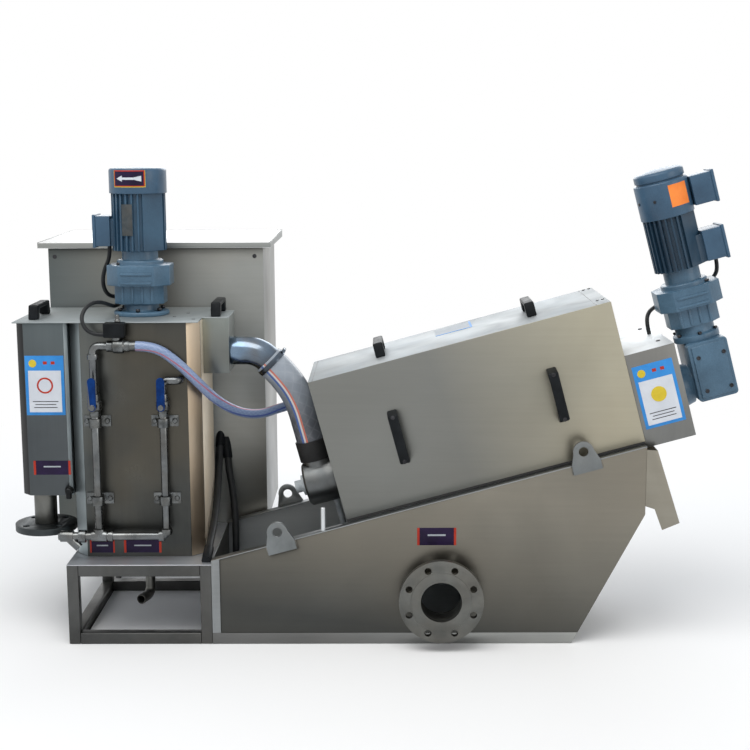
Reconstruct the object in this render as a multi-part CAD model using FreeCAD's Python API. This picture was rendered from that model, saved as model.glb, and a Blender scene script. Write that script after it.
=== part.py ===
import FreeCAD, Part
import math
import os

# Single-barrel multi-disc screw press on its own base, in millimetres.
# X runs along the machine from the mixing tank to the discharge end, Y away from the outlet side,
# Z up from the floor. The origin lies on the floor under the middle of the base frame's right-hand
# cross rail, half way between front and rear.

# Sheet and section sizes
SHEET = 3.0
TUBE = 30.0
SEAT = 0.3

# Base frame under the mixing tank and the control cabinet
FRAME_LENGTH = 380.0
FRAME_DEPTH = 470.0
FRAME_HEIGHT = 215.0
DECK_THICKNESS = 2.0

# Filtrate tank
PAN_LENGTH = 1133.0
PAN_FOOT = 948.0
PAN_KNEE_HEIGHT = 349.0
PAN_DEPTH = 400.0
PAN_LOW_END = 228.0
PAN_SLOPE = 15.0
RIM_WIDTH = 28.0
RIM_PROUD = 2.0
EDGE_STRIP = 22.0

# Filtrate outlet, a DN100 PN16 flange
OUTLET_X = 616.0
OUTLET_Z = 136.0
OUTLET_FLANGE = 220.0
OUTLET_PITCH_CIRCLE = 180.0
OUTLET_HOLES = 8
OUTLET_HOLE = 18.0
OUTLET_BORE = 106.0
OUTLET_PIPE = 114.3
OUTLET_REACH = 70.0
OUTLET_FLANGE_THICKNESS = 20.0
RAISED_FACE = 158.0
RAISED_FACE_STEP = 2.0
LUG_LOW_INSET = 183.0
LUG_HIGH_INSET = 157.0
CHUTE_BELOW_RIM = 10.0
CHUTE_THROAT = 28.0
CHUTE_MOUTH = 90.0
CHUTE_OPEN = 45.0
CHUTE_DROP = 195.0
CHUTE_LIP = 19.0
CHUTE_KNEE = 150.0
CHUTE_KNEE_REACH = 24.0
CHUTE_KNEE_FALL = 8.0

# Screw cover and the parts set square to it
COVER_LENGTH = 805.0
COVER_HEIGHT = 385.0
COVER_START = 357.0
COVER_SET_BACK = 28.0
BARREL_AXIS = 87.0
BARREL_RINGS = 14
FIXED_RING_HALF = 84.0
FIXED_RING_CORNER = 22.0
FIXED_RING_THICKNESS = 9.0
MOVING_RING_RADIUS = 78.0
CORE_RADIUS = 71.0
RING_SLIT = 5.0
TIE_ROD_RADIUS = 7.0
TIE_ROD_INSET = 14.0
SHAFT_RADIUS = 25.0
CHAMBER_RADIUS = 60.0
CHAMBER_REACH = 96.0
NECK_RISE = 30.0
END_BOX_LENGTH = 131.0
END_BOX_HEIGHT = 250.0
END_BOX_DROP = 11.0
SPRAY_Y = 50.0
SPRAY_HEIGHT = 298.0
NIPPLE_LENGTH = 24.0
HANDLE_LENGTH = 148.0
HANDLE_WIDTH = 26.0
HANDLE_HEIGHT = 38.0
HANDLE_BAR = 12.0
FRONT_HANDLE_INSET = 190.0
FRONT_HANDLE_RISE = 186.0
TOP_HANDLE_INSET = 196.0

# Drive
DRIVE_GAP = 46.0
BEVEL_LENGTH = 106.0
BEVEL_HEIGHT = 158.0
BEVEL_DEPTH = 150.0
BEVEL_DROP = 42.0
BEVEL_CORNER = 10.0
BEVEL_COVER = 4.0
BEVEL_COVER_MARGIN = 9.0
DRIVE_AXIS_SHIFT = 9.0
DRIVE_FLANGE_RADIUS = 80.0
DRIVE_FLANGE_THICKNESS = 12.0
INPUT_FLANGE_RADIUS = 61.0
INPUT_FLANGE_THICKNESS = 16.0
INPUT_WAIST_RADIUS = 52.0
INPUT_WAIST_HEIGHT = 27.0
DRIVE_STAGE_HEIGHT = 196.0
DRIVE_MOTOR_RADIUS = 68.0
DRIVE_MOTOR_LENGTH = 142.0
DRIVE_COWL_RADIUS = 71.0
DRIVE_COWL_HEIGHT = 95.0
DRIVE_CAP_RADIUS = 66.0
DRIVE_CAP_HEIGHT = 32.0
TERMINAL_LID = 8.0
TERMINAL_LIP = 4.0
DRIVE_TERMINAL_REACH = 59.0
DRIVE_TERMINAL_WIDTH = 84.0
DRIVE_TERMINAL_HEIGHT = 82.0
UPPER_TERMINAL_WIDTH = 72.0
UPPER_TERMINAL_HEIGHT = 78.0
UPPER_TERMINAL_REACH = 63.0
DRIVE_TERMINAL_RISE = 2.0
UPPER_TERMINAL_RISE = 10.0

# Helical gear unit under each motor
GEAR_WIDTH = 168.0
GEAR_DEPTH = 150.0
GEAR_CORNER = 36.0
GEAR_HEIGHT = 54.0
GEAR_FOOT_WIDTH = 132.0
GEAR_FOOT_DEPTH = 112.0
GEAR_FOOT_CORNER = 24.0
GEAR_FOOT_HEIGHT = 50.0
GEAR_CAP_RADIUS = 62.0
GEAR_CAP_HEIGHT = 13.0
GEAR_NECK_RADIUS = 48.0

# Cooling fins of both motors, between two wide pads
FIN_HEIGHT = 9.0
FINS_BETWEEN_PADS = 9
PAD_ANGLE = 54.0
PAD_TURN = -45.0
SEAT_MARGIN = 8.0

# Mixing tank, metering box and outlet box
TANK_WIDTH = 345.0
TANK_DEPTH = 300.0
TANK_HEIGHT = 631.0
TANK_SET_BACK = 77.0
TANK_INSET = 27.0
TANK_CHAMFER = 34.0
LID_OVERHANG = 15.0
LID_BACK = 8.0
LID_SIDE = 2.0
METER_WIDTH = 136.0
METER_HEIGHT = 463.0
METER_CHAMFER = 23.0
METER_CREASE = 8.0
METER_HANDLE_LEFT = 26.0
METER_HANDLE_BACK = 105.0
DOWNPIPE_RADIUS = 30.15
DOWNPIPE_LENGTH = 93.0
DOWNPIPE_FROM_LEFT = 43.0
DOWNPIPE_FROM_FRONT = 78.0
INLET_FLANGE = 165.0
INLET_PITCH_CIRCLE = 125.0
INLET_HOLES = 4
INLET_HOLE = 18.0
INLET_BORE = 54.5
INLET_FLANGE_THICKNESS = 18.0
OUTLET_BOX_WIDTH = 69.0
OUTLET_BOX_DEPTH = 154.0
OUTLET_BOX_HEIGHT = 148.0
OUTLET_BOX_SET_BACK = 79.0

# Feed line from the outlet box down to the barrel
FEED_RADIUS = 38.0
FEED_WALL = 2.0
FEED_DROP = 96.0
ELBOW_BEND = 85.0
ELBOW_LEAD = 40.0
HOSE_WALL = 4.0
HOSE_GRIP = 25.0
HOSE_LEAD = 5.0
CUFF_LENGTH = 55.0
CUFF_THICKNESS = 4.0

# Agitator drive
AGITATOR_FLANGE_RADIUS = 74.0
AGITATOR_FLANGE_THICKNESS = 12.0
AGITATOR_NECK_RADIUS = 47.0
AGITATOR_NECK_HEIGHT = 20.0
AGITATOR_STAGE_HEIGHT = 142.0
AGITATOR_MOTOR_RADIUS = 72.0
AGITATOR_MOTOR_HEIGHT = 151.0
AGITATOR_FAN_RADIUS = 76.0
AGITATOR_FAN_HEIGHT = 71.0
FAN_DOME = 5.0
AGITATOR_TERMINAL_REACH = 46.0
AGITATOR_TERMINAL_WIDTH = 76.0
AGITATOR_TERMINAL_HEIGHT = 80.0
AGITATOR_TERMINAL_RISE = 12.0

# Control cabinet
CABINET_WIDTH = 606.0
CABINET_DEPTH = 400.0
CABINET_HEIGHT = 800.0
CABINET_GAP = 10.0
CABINET_OVERLAP = 115.0
CABINET_SHEET = 2.0
DOOR_THICKNESS = 3.0
ROOF_OVERHANG = 24.0
ROOF_LIP = 16.0
ROOF_FALL = 6.0

# Wash water line, DN15 pipe
PIPE_RADIUS = 10.65
PIPE_STAND_OFF = 30.0
WASH_LEFT_X = -284.0
WASH_RIGHT_X = -106.0
WASH_LOW_Z = 282.0
WASH_ELBOW_Z = 790.0
STUB_Z = 699.0
VALVE_Z = 634.0
LEVER_LENGTH = 78.0
LEVER_WIDTH = 21.0
LEVER_THICKNESS = 5.0
FITTING_RADIUS = 15.0
FITTING_LENGTH = 40.0
VALVE_LENGTH = 60.0
VALVE_BOSS = 26.0
STEM_RADIUS = 5.0
STEM_CLEARANCE = 0.08
LEVER_GAP = 5.0
SOLENOID_OFFSET = 38.0
SOLENOID_LENGTH = 74.0
CLIP_LOW_Z = 379.0
CLIP_HIGH_Z = 588.0
WASH_HOSE_RADIUS = 13.0
DRAIN_RADIUS = 13.5
DRAIN_WALL = 2.5
DRAIN_DROP = 150.0
DRAIN_REACH = 55.0
DRAIN_BEND = 22.0
STRAINER_OFFSET = 22.0
STRAINER_BODY = 34.0
STRAINER_LEG = 44.0
STRAINER_RADIUS = 12.0
CHAMBER_DRAIN_DROP = 70.0
CHAMBER_DRAIN_RADIUS = 8.0

# Cables
DRIVE_CABLE_RADIUS = 5.5
AGITATOR_CABLE_RADIUS = 5.5
SOLENOID_CABLE_RADIUS = 5.25
CABINET_CABLE_RADIUS = 10.0
GLAND_RADIUS = 13.0
GLAND_RADIUS_SMALL = 9.0
GLAND_REACH = 60.0

FRAME_RIGHT = TUBE / 2
FRAME_LEFT = FRAME_RIGHT - FRAME_LENGTH
FRAME_FRONT = -FRAME_DEPTH / 2
FRAME_REAR = FRAME_DEPTH / 2
DECK_TOP = FRAME_HEIGHT + DECK_THICKNESS
PAN_LEFT = FRAME_RIGHT
PAN_RIGHT = PAN_LEFT + PAN_LENGTH
PAN_FRONT = FRAME_FRONT
PAN_REAR = PAN_FRONT + PAN_DEPTH
BARREL_Y = (PAN_FRONT + PAN_REAR) / 2
CABINET_FRONT = PAN_REAR + CABINET_GAP
CABINET_REAR = CABINET_FRONT + CABINET_DEPTH
TANK_RIGHT = FRAME_RIGHT - TANK_INSET
TANK_LEFT = TANK_RIGHT - TANK_WIDTH
TANK_FRONT = FRAME_FRONT + TANK_SET_BACK
TANK_REAR = TANK_FRONT + TANK_DEPTH
TANK_MIDDLE_X = (TANK_LEFT + TANK_RIGHT) / 2
TANK_MIDDLE_Y = (TANK_FRONT + TANK_REAR) / 2
TANK_TOP = DECK_TOP + TANK_HEIGHT
LID_TOP = TANK_TOP + SHEET
X_AXIS = FreeCAD.Vector(1, 0, 0)
Y_AXIS = FreeCAD.Vector(0, 1, 0)
Z_AXIS = FreeCAD.Vector(0, 0, 1)


def at(x, y, z):
    return FreeCAD.Vector(x, y, z)


def box(x0, x1, y0, y1, z0, z1):
    return Part.makeBox(x1 - x0, y1 - y0, z1 - z0, at(x0, y0, z0))


def profile_along_y(points, y0, y1):
    """Solid with an outline in X and Z, from y0 to y1."""
    corners = [at(x, y0, z) for x, z in points]
    return Part.Face(Part.makePolygon(corners + corners[:1])).extrude(at(0, y1 - y0, 0))


def profile_along_z(points, z0, z1):
    """Solid with an outline in X and Y, from z0 to z1."""
    corners = [at(x, y, z0) for x, y in points]
    return Part.Face(Part.makePolygon(corners + corners[:1])).extrude(at(0, 0, z1 - z0))


def octagon(width, depth, corner, z0, z1):
    """Solid rectangle round the Z axis with cut corners, from z0 to z1."""
    x = width / 2
    y = depth / 2
    return profile_along_z([(corner - x, -y), (x - corner, -y), (x, corner - y), (x, y - corner),
                            (x - corner, y), (corner - x, y), (-x, y - corner), (-x, corner - y)], z0, z1)


def rod(radius, start, axis, length):
    return Part.makeCylinder(radius, length, start, axis)


def tube(radius, bore, start, axis, length):
    return rod(radius, start, axis, length).cut(rod(bore, start, axis, length))


def turned(points, base, axis):
    """Solid of revolution: points are (radius, height) along an axis through base."""
    corners = [at(r, 0, h) for r, h in points]
    solid = Part.Face(Part.makePolygon(corners + corners[:1])).revolve(at(0, 0, 0), Z_AXIS, 360)
    solid.Placement = FreeCAD.Placement(base, FreeCAD.Rotation(Z_AXIS, axis))
    return solid


def fillet_edges(solid, radius, wanted):
    """Round the edges for which wanted(edge) is true."""
    return solid.makeFillet(radius, [edge for edge in solid.Edges if wanted(edge)])


def along(edge, axis):
    """True where a straight edge runs along an axis."""
    if not isinstance(edge.Curve, Part.Line):
        return False
    return abs(abs(edge.Curve.Direction.dot(axis)) - 1) < 1e-6


def bolt_circle(pitch_circle, count, hole, centre, axis, across, thickness):
    """Pins to cut from a flange; across is the direction that the first gap straddles."""
    pins = []
    for number in range(count):
        turn = FreeCAD.Rotation(axis, 360.0 * (number + 0.5) / count)
        place = centre + turn.multVec(across) * (pitch_circle / 2)
        pins.append(rod(hole / 2, place, axis, thickness))
    return pins


def save(name, *solids):
    shape = solids[0] if len(solids) == 1 else Part.makeCompound(list(solids))
    shape.exportStep("parts/" + name + ".step")


def pan_top(x):
    """Height of the filtrate tank's rim above the floor at x."""
    return PAN_LOW_END + (x - PAN_LEFT) * math.tan(math.radians(PAN_SLOPE))


def square_to_cover(*solids):
    """Turn solids built along the barrel (X along it, Z square to it) to the slope of the rim."""
    turned_solids = []
    for solid in solids:
        copy = solid.copy()
        copy.rotate(at(0, 0, 0), Y_AXIS, -PAN_SLOPE)
        copy.translate(at(PAN_LEFT + COVER_START, 0, pan_top(PAN_LEFT + COVER_START)))
        turned_solids.append(copy)
    return turned_solids


# Base frame: welded square tube, open on all sides, with a sheet deck
def base_frame():
    bay_rear = CABINET_FRONT + CABINET_DEPTH
    inner_left = FRAME_LEFT + TUBE
    inner_right = FRAME_RIGHT - TUBE
    posts = []
    for x in (FRAME_LEFT, inner_right):
        for y in (FRAME_FRONT, FRAME_REAR - TUBE, bay_rear - TUBE):
            posts.append(box(x, x + TUBE, y, y + TUBE, 0, FRAME_HEIGHT))
    save("frame_posts", *posts)

    rails = []
    for z in (0, FRAME_HEIGHT - TUBE):
        for y in (FRAME_FRONT, FRAME_REAR - TUBE, bay_rear - TUBE):
            rails.append(box(inner_left, inner_right, y, y + TUBE, z, z + TUBE))
        for x in (FRAME_LEFT, inner_right):
            rails.append(box(x, x + TUBE, FRAME_FRONT + TUBE, FRAME_REAR - TUBE, z, z + TUBE))
            rails.append(box(x, x + TUBE, FRAME_REAR, bay_rear - TUBE, z, z + TUBE))
    save("frame_rails", *rails)
    deck = box(FRAME_LEFT, FRAME_RIGHT, FRAME_FRONT, bay_rear, FRAME_HEIGHT, DECK_TOP)
    drain_top = at(TANK_MIDDLE_X, TANK_MIDDLE_Y, FRAME_HEIGHT)
    save("frame_deck", deck.cut(rod(DRAIN_RADIUS - DRAIN_WALL, drain_top, Z_AXIS, DECK_THICKNESS)))


# Filtrate tank: folded sheet on square tube rails, with a sloping right-hand end
def filtrate_tank():
    rise = SHEET / math.cos(math.radians(PAN_SLOPE))
    foot = PAN_LEFT + PAN_FOOT
    lean = (PAN_RIGHT - foot) / PAN_KNEE_HEIGHT
    rail_top_end = foot + TUBE * lean
    rail = [(PAN_LEFT, 0), (foot, 0), (rail_top_end, TUBE), (PAN_LEFT, TUBE)]
    rails = [profile_along_y(rail, y, y + TUBE) for y in (PAN_FRONT, PAN_REAR - TUBE)]
    for share in (0.0, 0.5, 1.0):
        x = PAN_LEFT + share * (PAN_FOOT - TUBE)
        rails.append(box(x, x + TUBE, PAN_FRONT + TUBE, PAN_REAR - TUBE, 0, TUBE))
    save("tank_base", *rails)

    outer_front = PAN_FRONT + RIM_PROUD
    outer_rear = PAN_REAR - RIM_PROUD
    side = [(PAN_LEFT, TUBE), (rail_top_end, TUBE), (PAN_RIGHT, PAN_KNEE_HEIGHT),
            (PAN_RIGHT, pan_top(PAN_RIGHT) - rise), (PAN_LEFT, pan_top(PAN_LEFT) - rise)]
    bore = rod(OUTLET_BORE / 2, at(OUTLET_X, outer_front, OUTLET_Z), Y_AXIS, SHEET)
    save("tank_front_plate", profile_along_y(side, outer_front, outer_front + SHEET).cut(bore))
    save("tank_rear_plate", profile_along_y(side, outer_rear - SHEET, outer_rear))

    inner_front = outer_front + SHEET
    inner_rear = outer_rear - SHEET
    left_plate = box(PAN_LEFT, PAN_LEFT + SHEET, inner_front, inner_rear, TUBE, pan_top(PAN_LEFT) - rise)
    inset = SHEET * math.sqrt(1 + lean * lean)
    end_slope = [(rail_top_end, TUBE), (PAN_RIGHT, PAN_KNEE_HEIGHT), (PAN_RIGHT - SHEET, PAN_KNEE_HEIGHT),
                 (PAN_RIGHT - SHEET, PAN_KNEE_HEIGHT - (inset - SHEET) / lean), (rail_top_end - inset, TUBE)]
    end_wall = [(PAN_RIGHT - SHEET, PAN_KNEE_HEIGHT), (PAN_RIGHT, PAN_KNEE_HEIGHT),
                (PAN_RIGHT, pan_top(PAN_RIGHT) - rise),
                (PAN_RIGHT - SHEET, pan_top(PAN_RIGHT - SHEET) - rise)]
    slope_solid = profile_along_y(end_slope, inner_front, inner_rear)
    save("tank_end_plate", slope_solid.fuse(profile_along_y(end_wall, inner_front, inner_rear)))
    floor = box(PAN_LEFT + SHEET, rail_top_end - inset, inner_front, inner_rear, TUBE, TUBE + SHEET)
    save("tank_floor", floor.fuse(left_plate))

    rim = [(PAN_LEFT, pan_top(PAN_LEFT) - rise), (PAN_RIGHT, pan_top(PAN_RIGHT) - rise),
           (PAN_RIGHT, pan_top(PAN_RIGHT)), (PAN_LEFT, pan_top(PAN_LEFT))]
    rims = [profile_along_y(rim, y, y + RIM_WIDTH) for y in (PAN_FRONT, PAN_REAR - RIM_WIDTH)]
    strip = [(PAN_LEFT, TUBE), (PAN_LEFT + EDGE_STRIP, TUBE),
             (PAN_LEFT + EDGE_STRIP, pan_top(PAN_LEFT + EDGE_STRIP) - rise),
             (PAN_LEFT, pan_top(PAN_LEFT) - rise)]
    strips = [profile_along_y(strip, PAN_FRONT, outer_front), profile_along_y(strip, outer_rear, PAN_REAR)]
    save("tank_rims", *[rim_bar.fuse(end_strip) for rim_bar, end_strip in zip(rims, strips)])
    lifting_lugs(outer_front, outer_rear)


# Lifting lugs: round-headed plates welded to the outside of the two side plates
def lifting_lugs(outer_front, outer_rear):
    lug_thickness = 8.0
    head_radius = 27.0
    hole_radius = 12.5
    half_base = 38.0
    skirt = 25.0
    rise = 30.0
    lugs = []
    for x in (PAN_LEFT + LUG_LOW_INSET, PAN_RIGHT - LUG_HIGH_INSET):
        for y in (outer_front - lug_thickness, outer_rear):
            plate = profile_along_y([(-half_base, -skirt), (half_base, -skirt), (half_base, 0),
                                     (head_radius, rise), (-head_radius, rise), (-half_base, 0)],
                                    y, y + lug_thickness)
            head = rod(head_radius, at(0, y, rise), Y_AXIS, lug_thickness)
            hole = rod(hole_radius, at(0, y, rise), Y_AXIS, lug_thickness)
            lug = plate.fuse(head).removeSplitter().cut(hole)
            lug.rotate(at(0, 0, 0), Y_AXIS, -PAN_SLOPE)
            lug.translate(at(x, 0, pan_top(x)))
            lugs.append(lug)
    notch = profile_along_y([(PAN_LEFT - 1, pan_top(PAN_LEFT - 1) - SHEET * 2),
                             (PAN_RIGHT, pan_top(PAN_RIGHT) - SHEET * 2),
                             (PAN_RIGHT, pan_top(PAN_RIGHT) + SEAT),
                             (PAN_LEFT - 1, pan_top(PAN_LEFT - 1) + SEAT)],
                            PAN_FRONT - SEAT, PAN_REAR + SEAT)
    save("lifting_lugs", *[lug.cut(notch) for lug in lugs])


# Filtrate outlet: a flange on a short pipe welded to the front plate
def filtrate_outlet():
    centre = at(OUTLET_X, PAN_FRONT - OUTLET_REACH, OUTLET_Z)
    half_bore = OUTLET_BORE / 2
    outline = [(half_bore, 0), (RAISED_FACE / 2, 0), (RAISED_FACE / 2, RAISED_FACE_STEP),
               (OUTLET_FLANGE / 2, RAISED_FACE_STEP), (OUTLET_FLANGE / 2, OUTLET_FLANGE_THICKNESS),
               (half_bore, OUTLET_FLANGE_THICKNESS)]
    pins = bolt_circle(OUTLET_PITCH_CIRCLE, OUTLET_HOLES, OUTLET_HOLE, centre, Y_AXIS, X_AXIS,
                       OUTLET_FLANGE_THICKNESS)
    save("filtrate_flange", turned(outline, centre, Y_AXIS).cut(pins))
    pipe_length = OUTLET_REACH + RIM_PROUD - OUTLET_FLANGE_THICKNESS
    pipe_start = centre + Y_AXIS * OUTLET_FLANGE_THICKNESS
    save("filtrate_pipe", tube(OUTLET_PIPE / 2, half_bore, pipe_start, Y_AXIS, pipe_length))


# Cake chute: two cheeks and an outer plate on the right-hand end, open above and below
def discharge_chute():
    top = pan_top(PAN_RIGHT) - CHUTE_BELOW_RIM
    throat = PAN_RIGHT + CHUTE_THROAT
    mouth = PAN_RIGHT + CHUTE_MOUTH
    foot = top - CHUTE_DROP
    knee = top - CHUTE_KNEE
    cheek = [(PAN_RIGHT, top), (throat, top - 2), (mouth, foot), (mouth - CHUTE_OPEN, foot - CHUTE_LIP),
             (PAN_RIGHT + CHUTE_KNEE_REACH, knee - CHUTE_KNEE_FALL), (PAN_RIGHT, knee)]
    front = PAN_FRONT + RIM_PROUD
    rear = PAN_REAR - RIM_PROUD
    cheeks = [profile_along_y(cheek, y, y + SHEET) for y in (front, rear - SHEET)]
    plate = [(throat - SHEET, top - 2), (throat, top - 2), (mouth, foot), (mouth - SHEET, foot)]
    save("discharge_chute", profile_along_y(plate, front, rear).fuse(cheeks).removeSplitter())


# Screw cover: sheet box without a floor, square to the barrel and seated on the rims
def screw_cover():
    front = PAN_FRONT + COVER_SET_BACK
    rear = PAN_REAR - COVER_SET_BACK
    shell = box(0, COVER_LENGTH, front, rear, 0, COVER_HEIGHT)
    inner = box(SHEET, COVER_LENGTH - SHEET, front + SHEET, rear - SHEET, 0, COVER_HEIGHT - SHEET)
    middle = (front + rear) / 2
    neck_hole = rod(CHAMBER_RADIUS + 1, at(0, middle, BARREL_AXIS), X_AXIS, SHEET)
    far_wall = at(COVER_LENGTH - SHEET, middle, BARREL_AXIS)
    shaft_hole = rod(CHAMBER_RADIUS + 1, far_wall, X_AXIS, SHEET)
    nipple = turned([(0, -NIPPLE_LENGTH), (9, -NIPPLE_LENGTH), (9, -10), (15, -10), (15, SHEET), (0, SHEET)],
                    at(0, SPRAY_Y, SPRAY_HEIGHT), X_AXIS)
    cover = shell.cut([inner, neck_hole, shaft_hole]).fuse(nipple)
    save("screw_cover", *square_to_cover(cover))

    front_handles = []
    for x in (FRONT_HANDLE_INSET, COVER_LENGTH - FRONT_HANDLE_INSET):
        front_handles.append(handle(at(x, front, FRONT_HANDLE_RISE), at(0, -1, 0), Z_AXIS))
    top_handles = []
    for x in (TOP_HANDLE_INSET, COVER_LENGTH - TOP_HANDLE_INSET):
        top_handles.append(handle(at(x, middle, COVER_HEIGHT), Z_AXIS, Y_AXIS))
    save("cover_handles", *square_to_cover(*front_handles, *top_handles))


def handle(centre, outward, lengthwise):
    """Moulded bridge handle with a finger gap, its feet on a flat face."""
    half = HANDLE_LENGTH / 2
    foot = 24.0
    slant = 10.0
    outline = [(-half, 0), (-half + foot, 0), (-half + foot + slant, HANDLE_HEIGHT - HANDLE_BAR),
               (half - foot - slant, HANDLE_HEIGHT - HANDLE_BAR), (half - foot, 0), (half, 0),
               (half - slant, HANDLE_HEIGHT), (-half + slant, HANDLE_HEIGHT)]
    bridge = profile_along_y(outline, -HANDLE_WIDTH / 2, HANDLE_WIDTH / 2)
    crosswise = outward.cross(lengthwise)
    turn = FreeCAD.Rotation(lengthwise, crosswise, outward, "ZXY")
    bridge.Placement = FreeCAD.Placement(centre, turn)
    return bridge


# Dewatering barrel: square-cornered fixed rings on four tie rods, with a moving ring and two open
# slits between each pair, round the screw's shaft
def screw_barrel():
    middle = BARREL_Y
    pitch = (COVER_LENGTH - 2 * SHEET - FIXED_RING_THICKNESS) / BARREL_RINGS
    outline = [(0, 0)]
    for ring in range(BARREL_RINGS):
        near = ring * pitch + FIXED_RING_THICKNESS + RING_SLIT
        far = (ring + 1) * pitch - RING_SLIT
        outline += [(CORE_RADIUS, ring * pitch), (CORE_RADIUS, near), (MOVING_RING_RADIUS, near),
                    (MOVING_RING_RADIUS, far), (CORE_RADIUS, far)]
    length = BARREL_RINGS * pitch + FIXED_RING_THICKNESS
    outline += [(CORE_RADIUS, length), (0, length)]
    barrel = turned(outline, at(SHEET, middle, BARREL_AXIS), X_AXIS)
    half = FIXED_RING_HALF
    plate = octagon(2 * half, 2 * half, FIXED_RING_CORNER, 0, FIXED_RING_THICKNESS)
    plate.Placement = FreeCAD.Placement(at(0, middle, BARREL_AXIS), FreeCAD.Rotation(Z_AXIS, X_AXIS))
    pieces = []
    for ring in range(BARREL_RINGS + 1):
        fixed = plate.copy()
        fixed.translate(at(SHEET + ring * pitch, 0, 0))
        pieces.append(fixed)
    reach = half - TIE_ROD_INSET
    for y, z in ((-reach, -reach), (-reach, reach), (reach, -reach), (reach, reach)):
        pieces.append(rod(TIE_ROD_RADIUS, at(SHEET, middle + y, BARREL_AXIS + z), X_AXIS, length))
    save("screw_barrel", *square_to_cover(barrel.fuse(pieces)))
    shaft_start = at(COVER_LENGTH - SHEET, middle, BARREL_AXIS)
    save("screw_shaft", *square_to_cover(rod(SHAFT_RADIUS, shaft_start, X_AXIS, SHEET + END_BOX_LENGTH)))

    chamber = turned([(0, -CHAMBER_REACH), (CHAMBER_RADIUS - 6, -CHAMBER_REACH),
                      (CHAMBER_RADIUS, -CHAMBER_REACH + 6), (CHAMBER_RADIUS, SHEET), (0, SHEET)],
                     at(0, middle, BARREL_AXIS), X_AXIS)
    neck_x = -CHAMBER_REACH / 2
    neck_height = CHAMBER_RADIUS + NECK_RISE
    neck = rod(FEED_RADIUS, at(neck_x, middle, BARREL_AXIS), Z_AXIS, neck_height)
    mouth = rod(FEED_RADIUS - FEED_WALL, at(neck_x, middle, BARREL_AXIS), Z_AXIS, neck_height)
    save("inlet_chamber", *square_to_cover(chamber.fuse(neck).cut(mouth)))

    cap = turned([(0, -CHAMBER_REACH - 30), (17, -CHAMBER_REACH - 30), (17, -CHAMBER_REACH - 10),
                  (28, -CHAMBER_REACH - 10), (28, -CHAMBER_REACH), (0, -CHAMBER_REACH)],
                 at(0, middle, BARREL_AXIS), X_AXIS)
    drain_foot = at(neck_x + 20, middle, BARREL_AXIS - CHAMBER_RADIUS - CHAMBER_DRAIN_DROP)
    drain = rod(CHAMBER_DRAIN_RADIUS, drain_foot, Z_AXIS, CHAMBER_DRAIN_DROP + 0.6)
    save("chamber_fittings", *square_to_cover(cap, drain.cut(chamber)))


# End box over the discharge end, and the drive hung on its right-hand face
def end_box():
    front = PAN_FRONT + COVER_SET_BACK
    rear = PAN_REAR - COVER_SET_BACK
    low = -END_BOX_DROP
    start = COVER_LENGTH
    middle = (front + rear) / 2
    shell = box(start, start + END_BOX_LENGTH, front, rear, low, low + END_BOX_HEIGHT)
    inner = box(start + SHEET, start + END_BOX_LENGTH - SHEET, front + SHEET, rear - SHEET,
                low, low + END_BOX_HEIGHT - SHEET)
    throat = rod(CHAMBER_RADIUS + 1, at(start, middle, BARREL_AXIS), X_AXIS, SHEET)
    far_wall = at(start + END_BOX_LENGTH - SHEET, middle, BARREL_AXIS)
    shaft_hole = rod(SHAFT_RADIUS + SEAT, far_wall, X_AXIS, SHEET)
    save("end_box", *square_to_cover(shell.cut([inner, throat, shaft_hole])))


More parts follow.
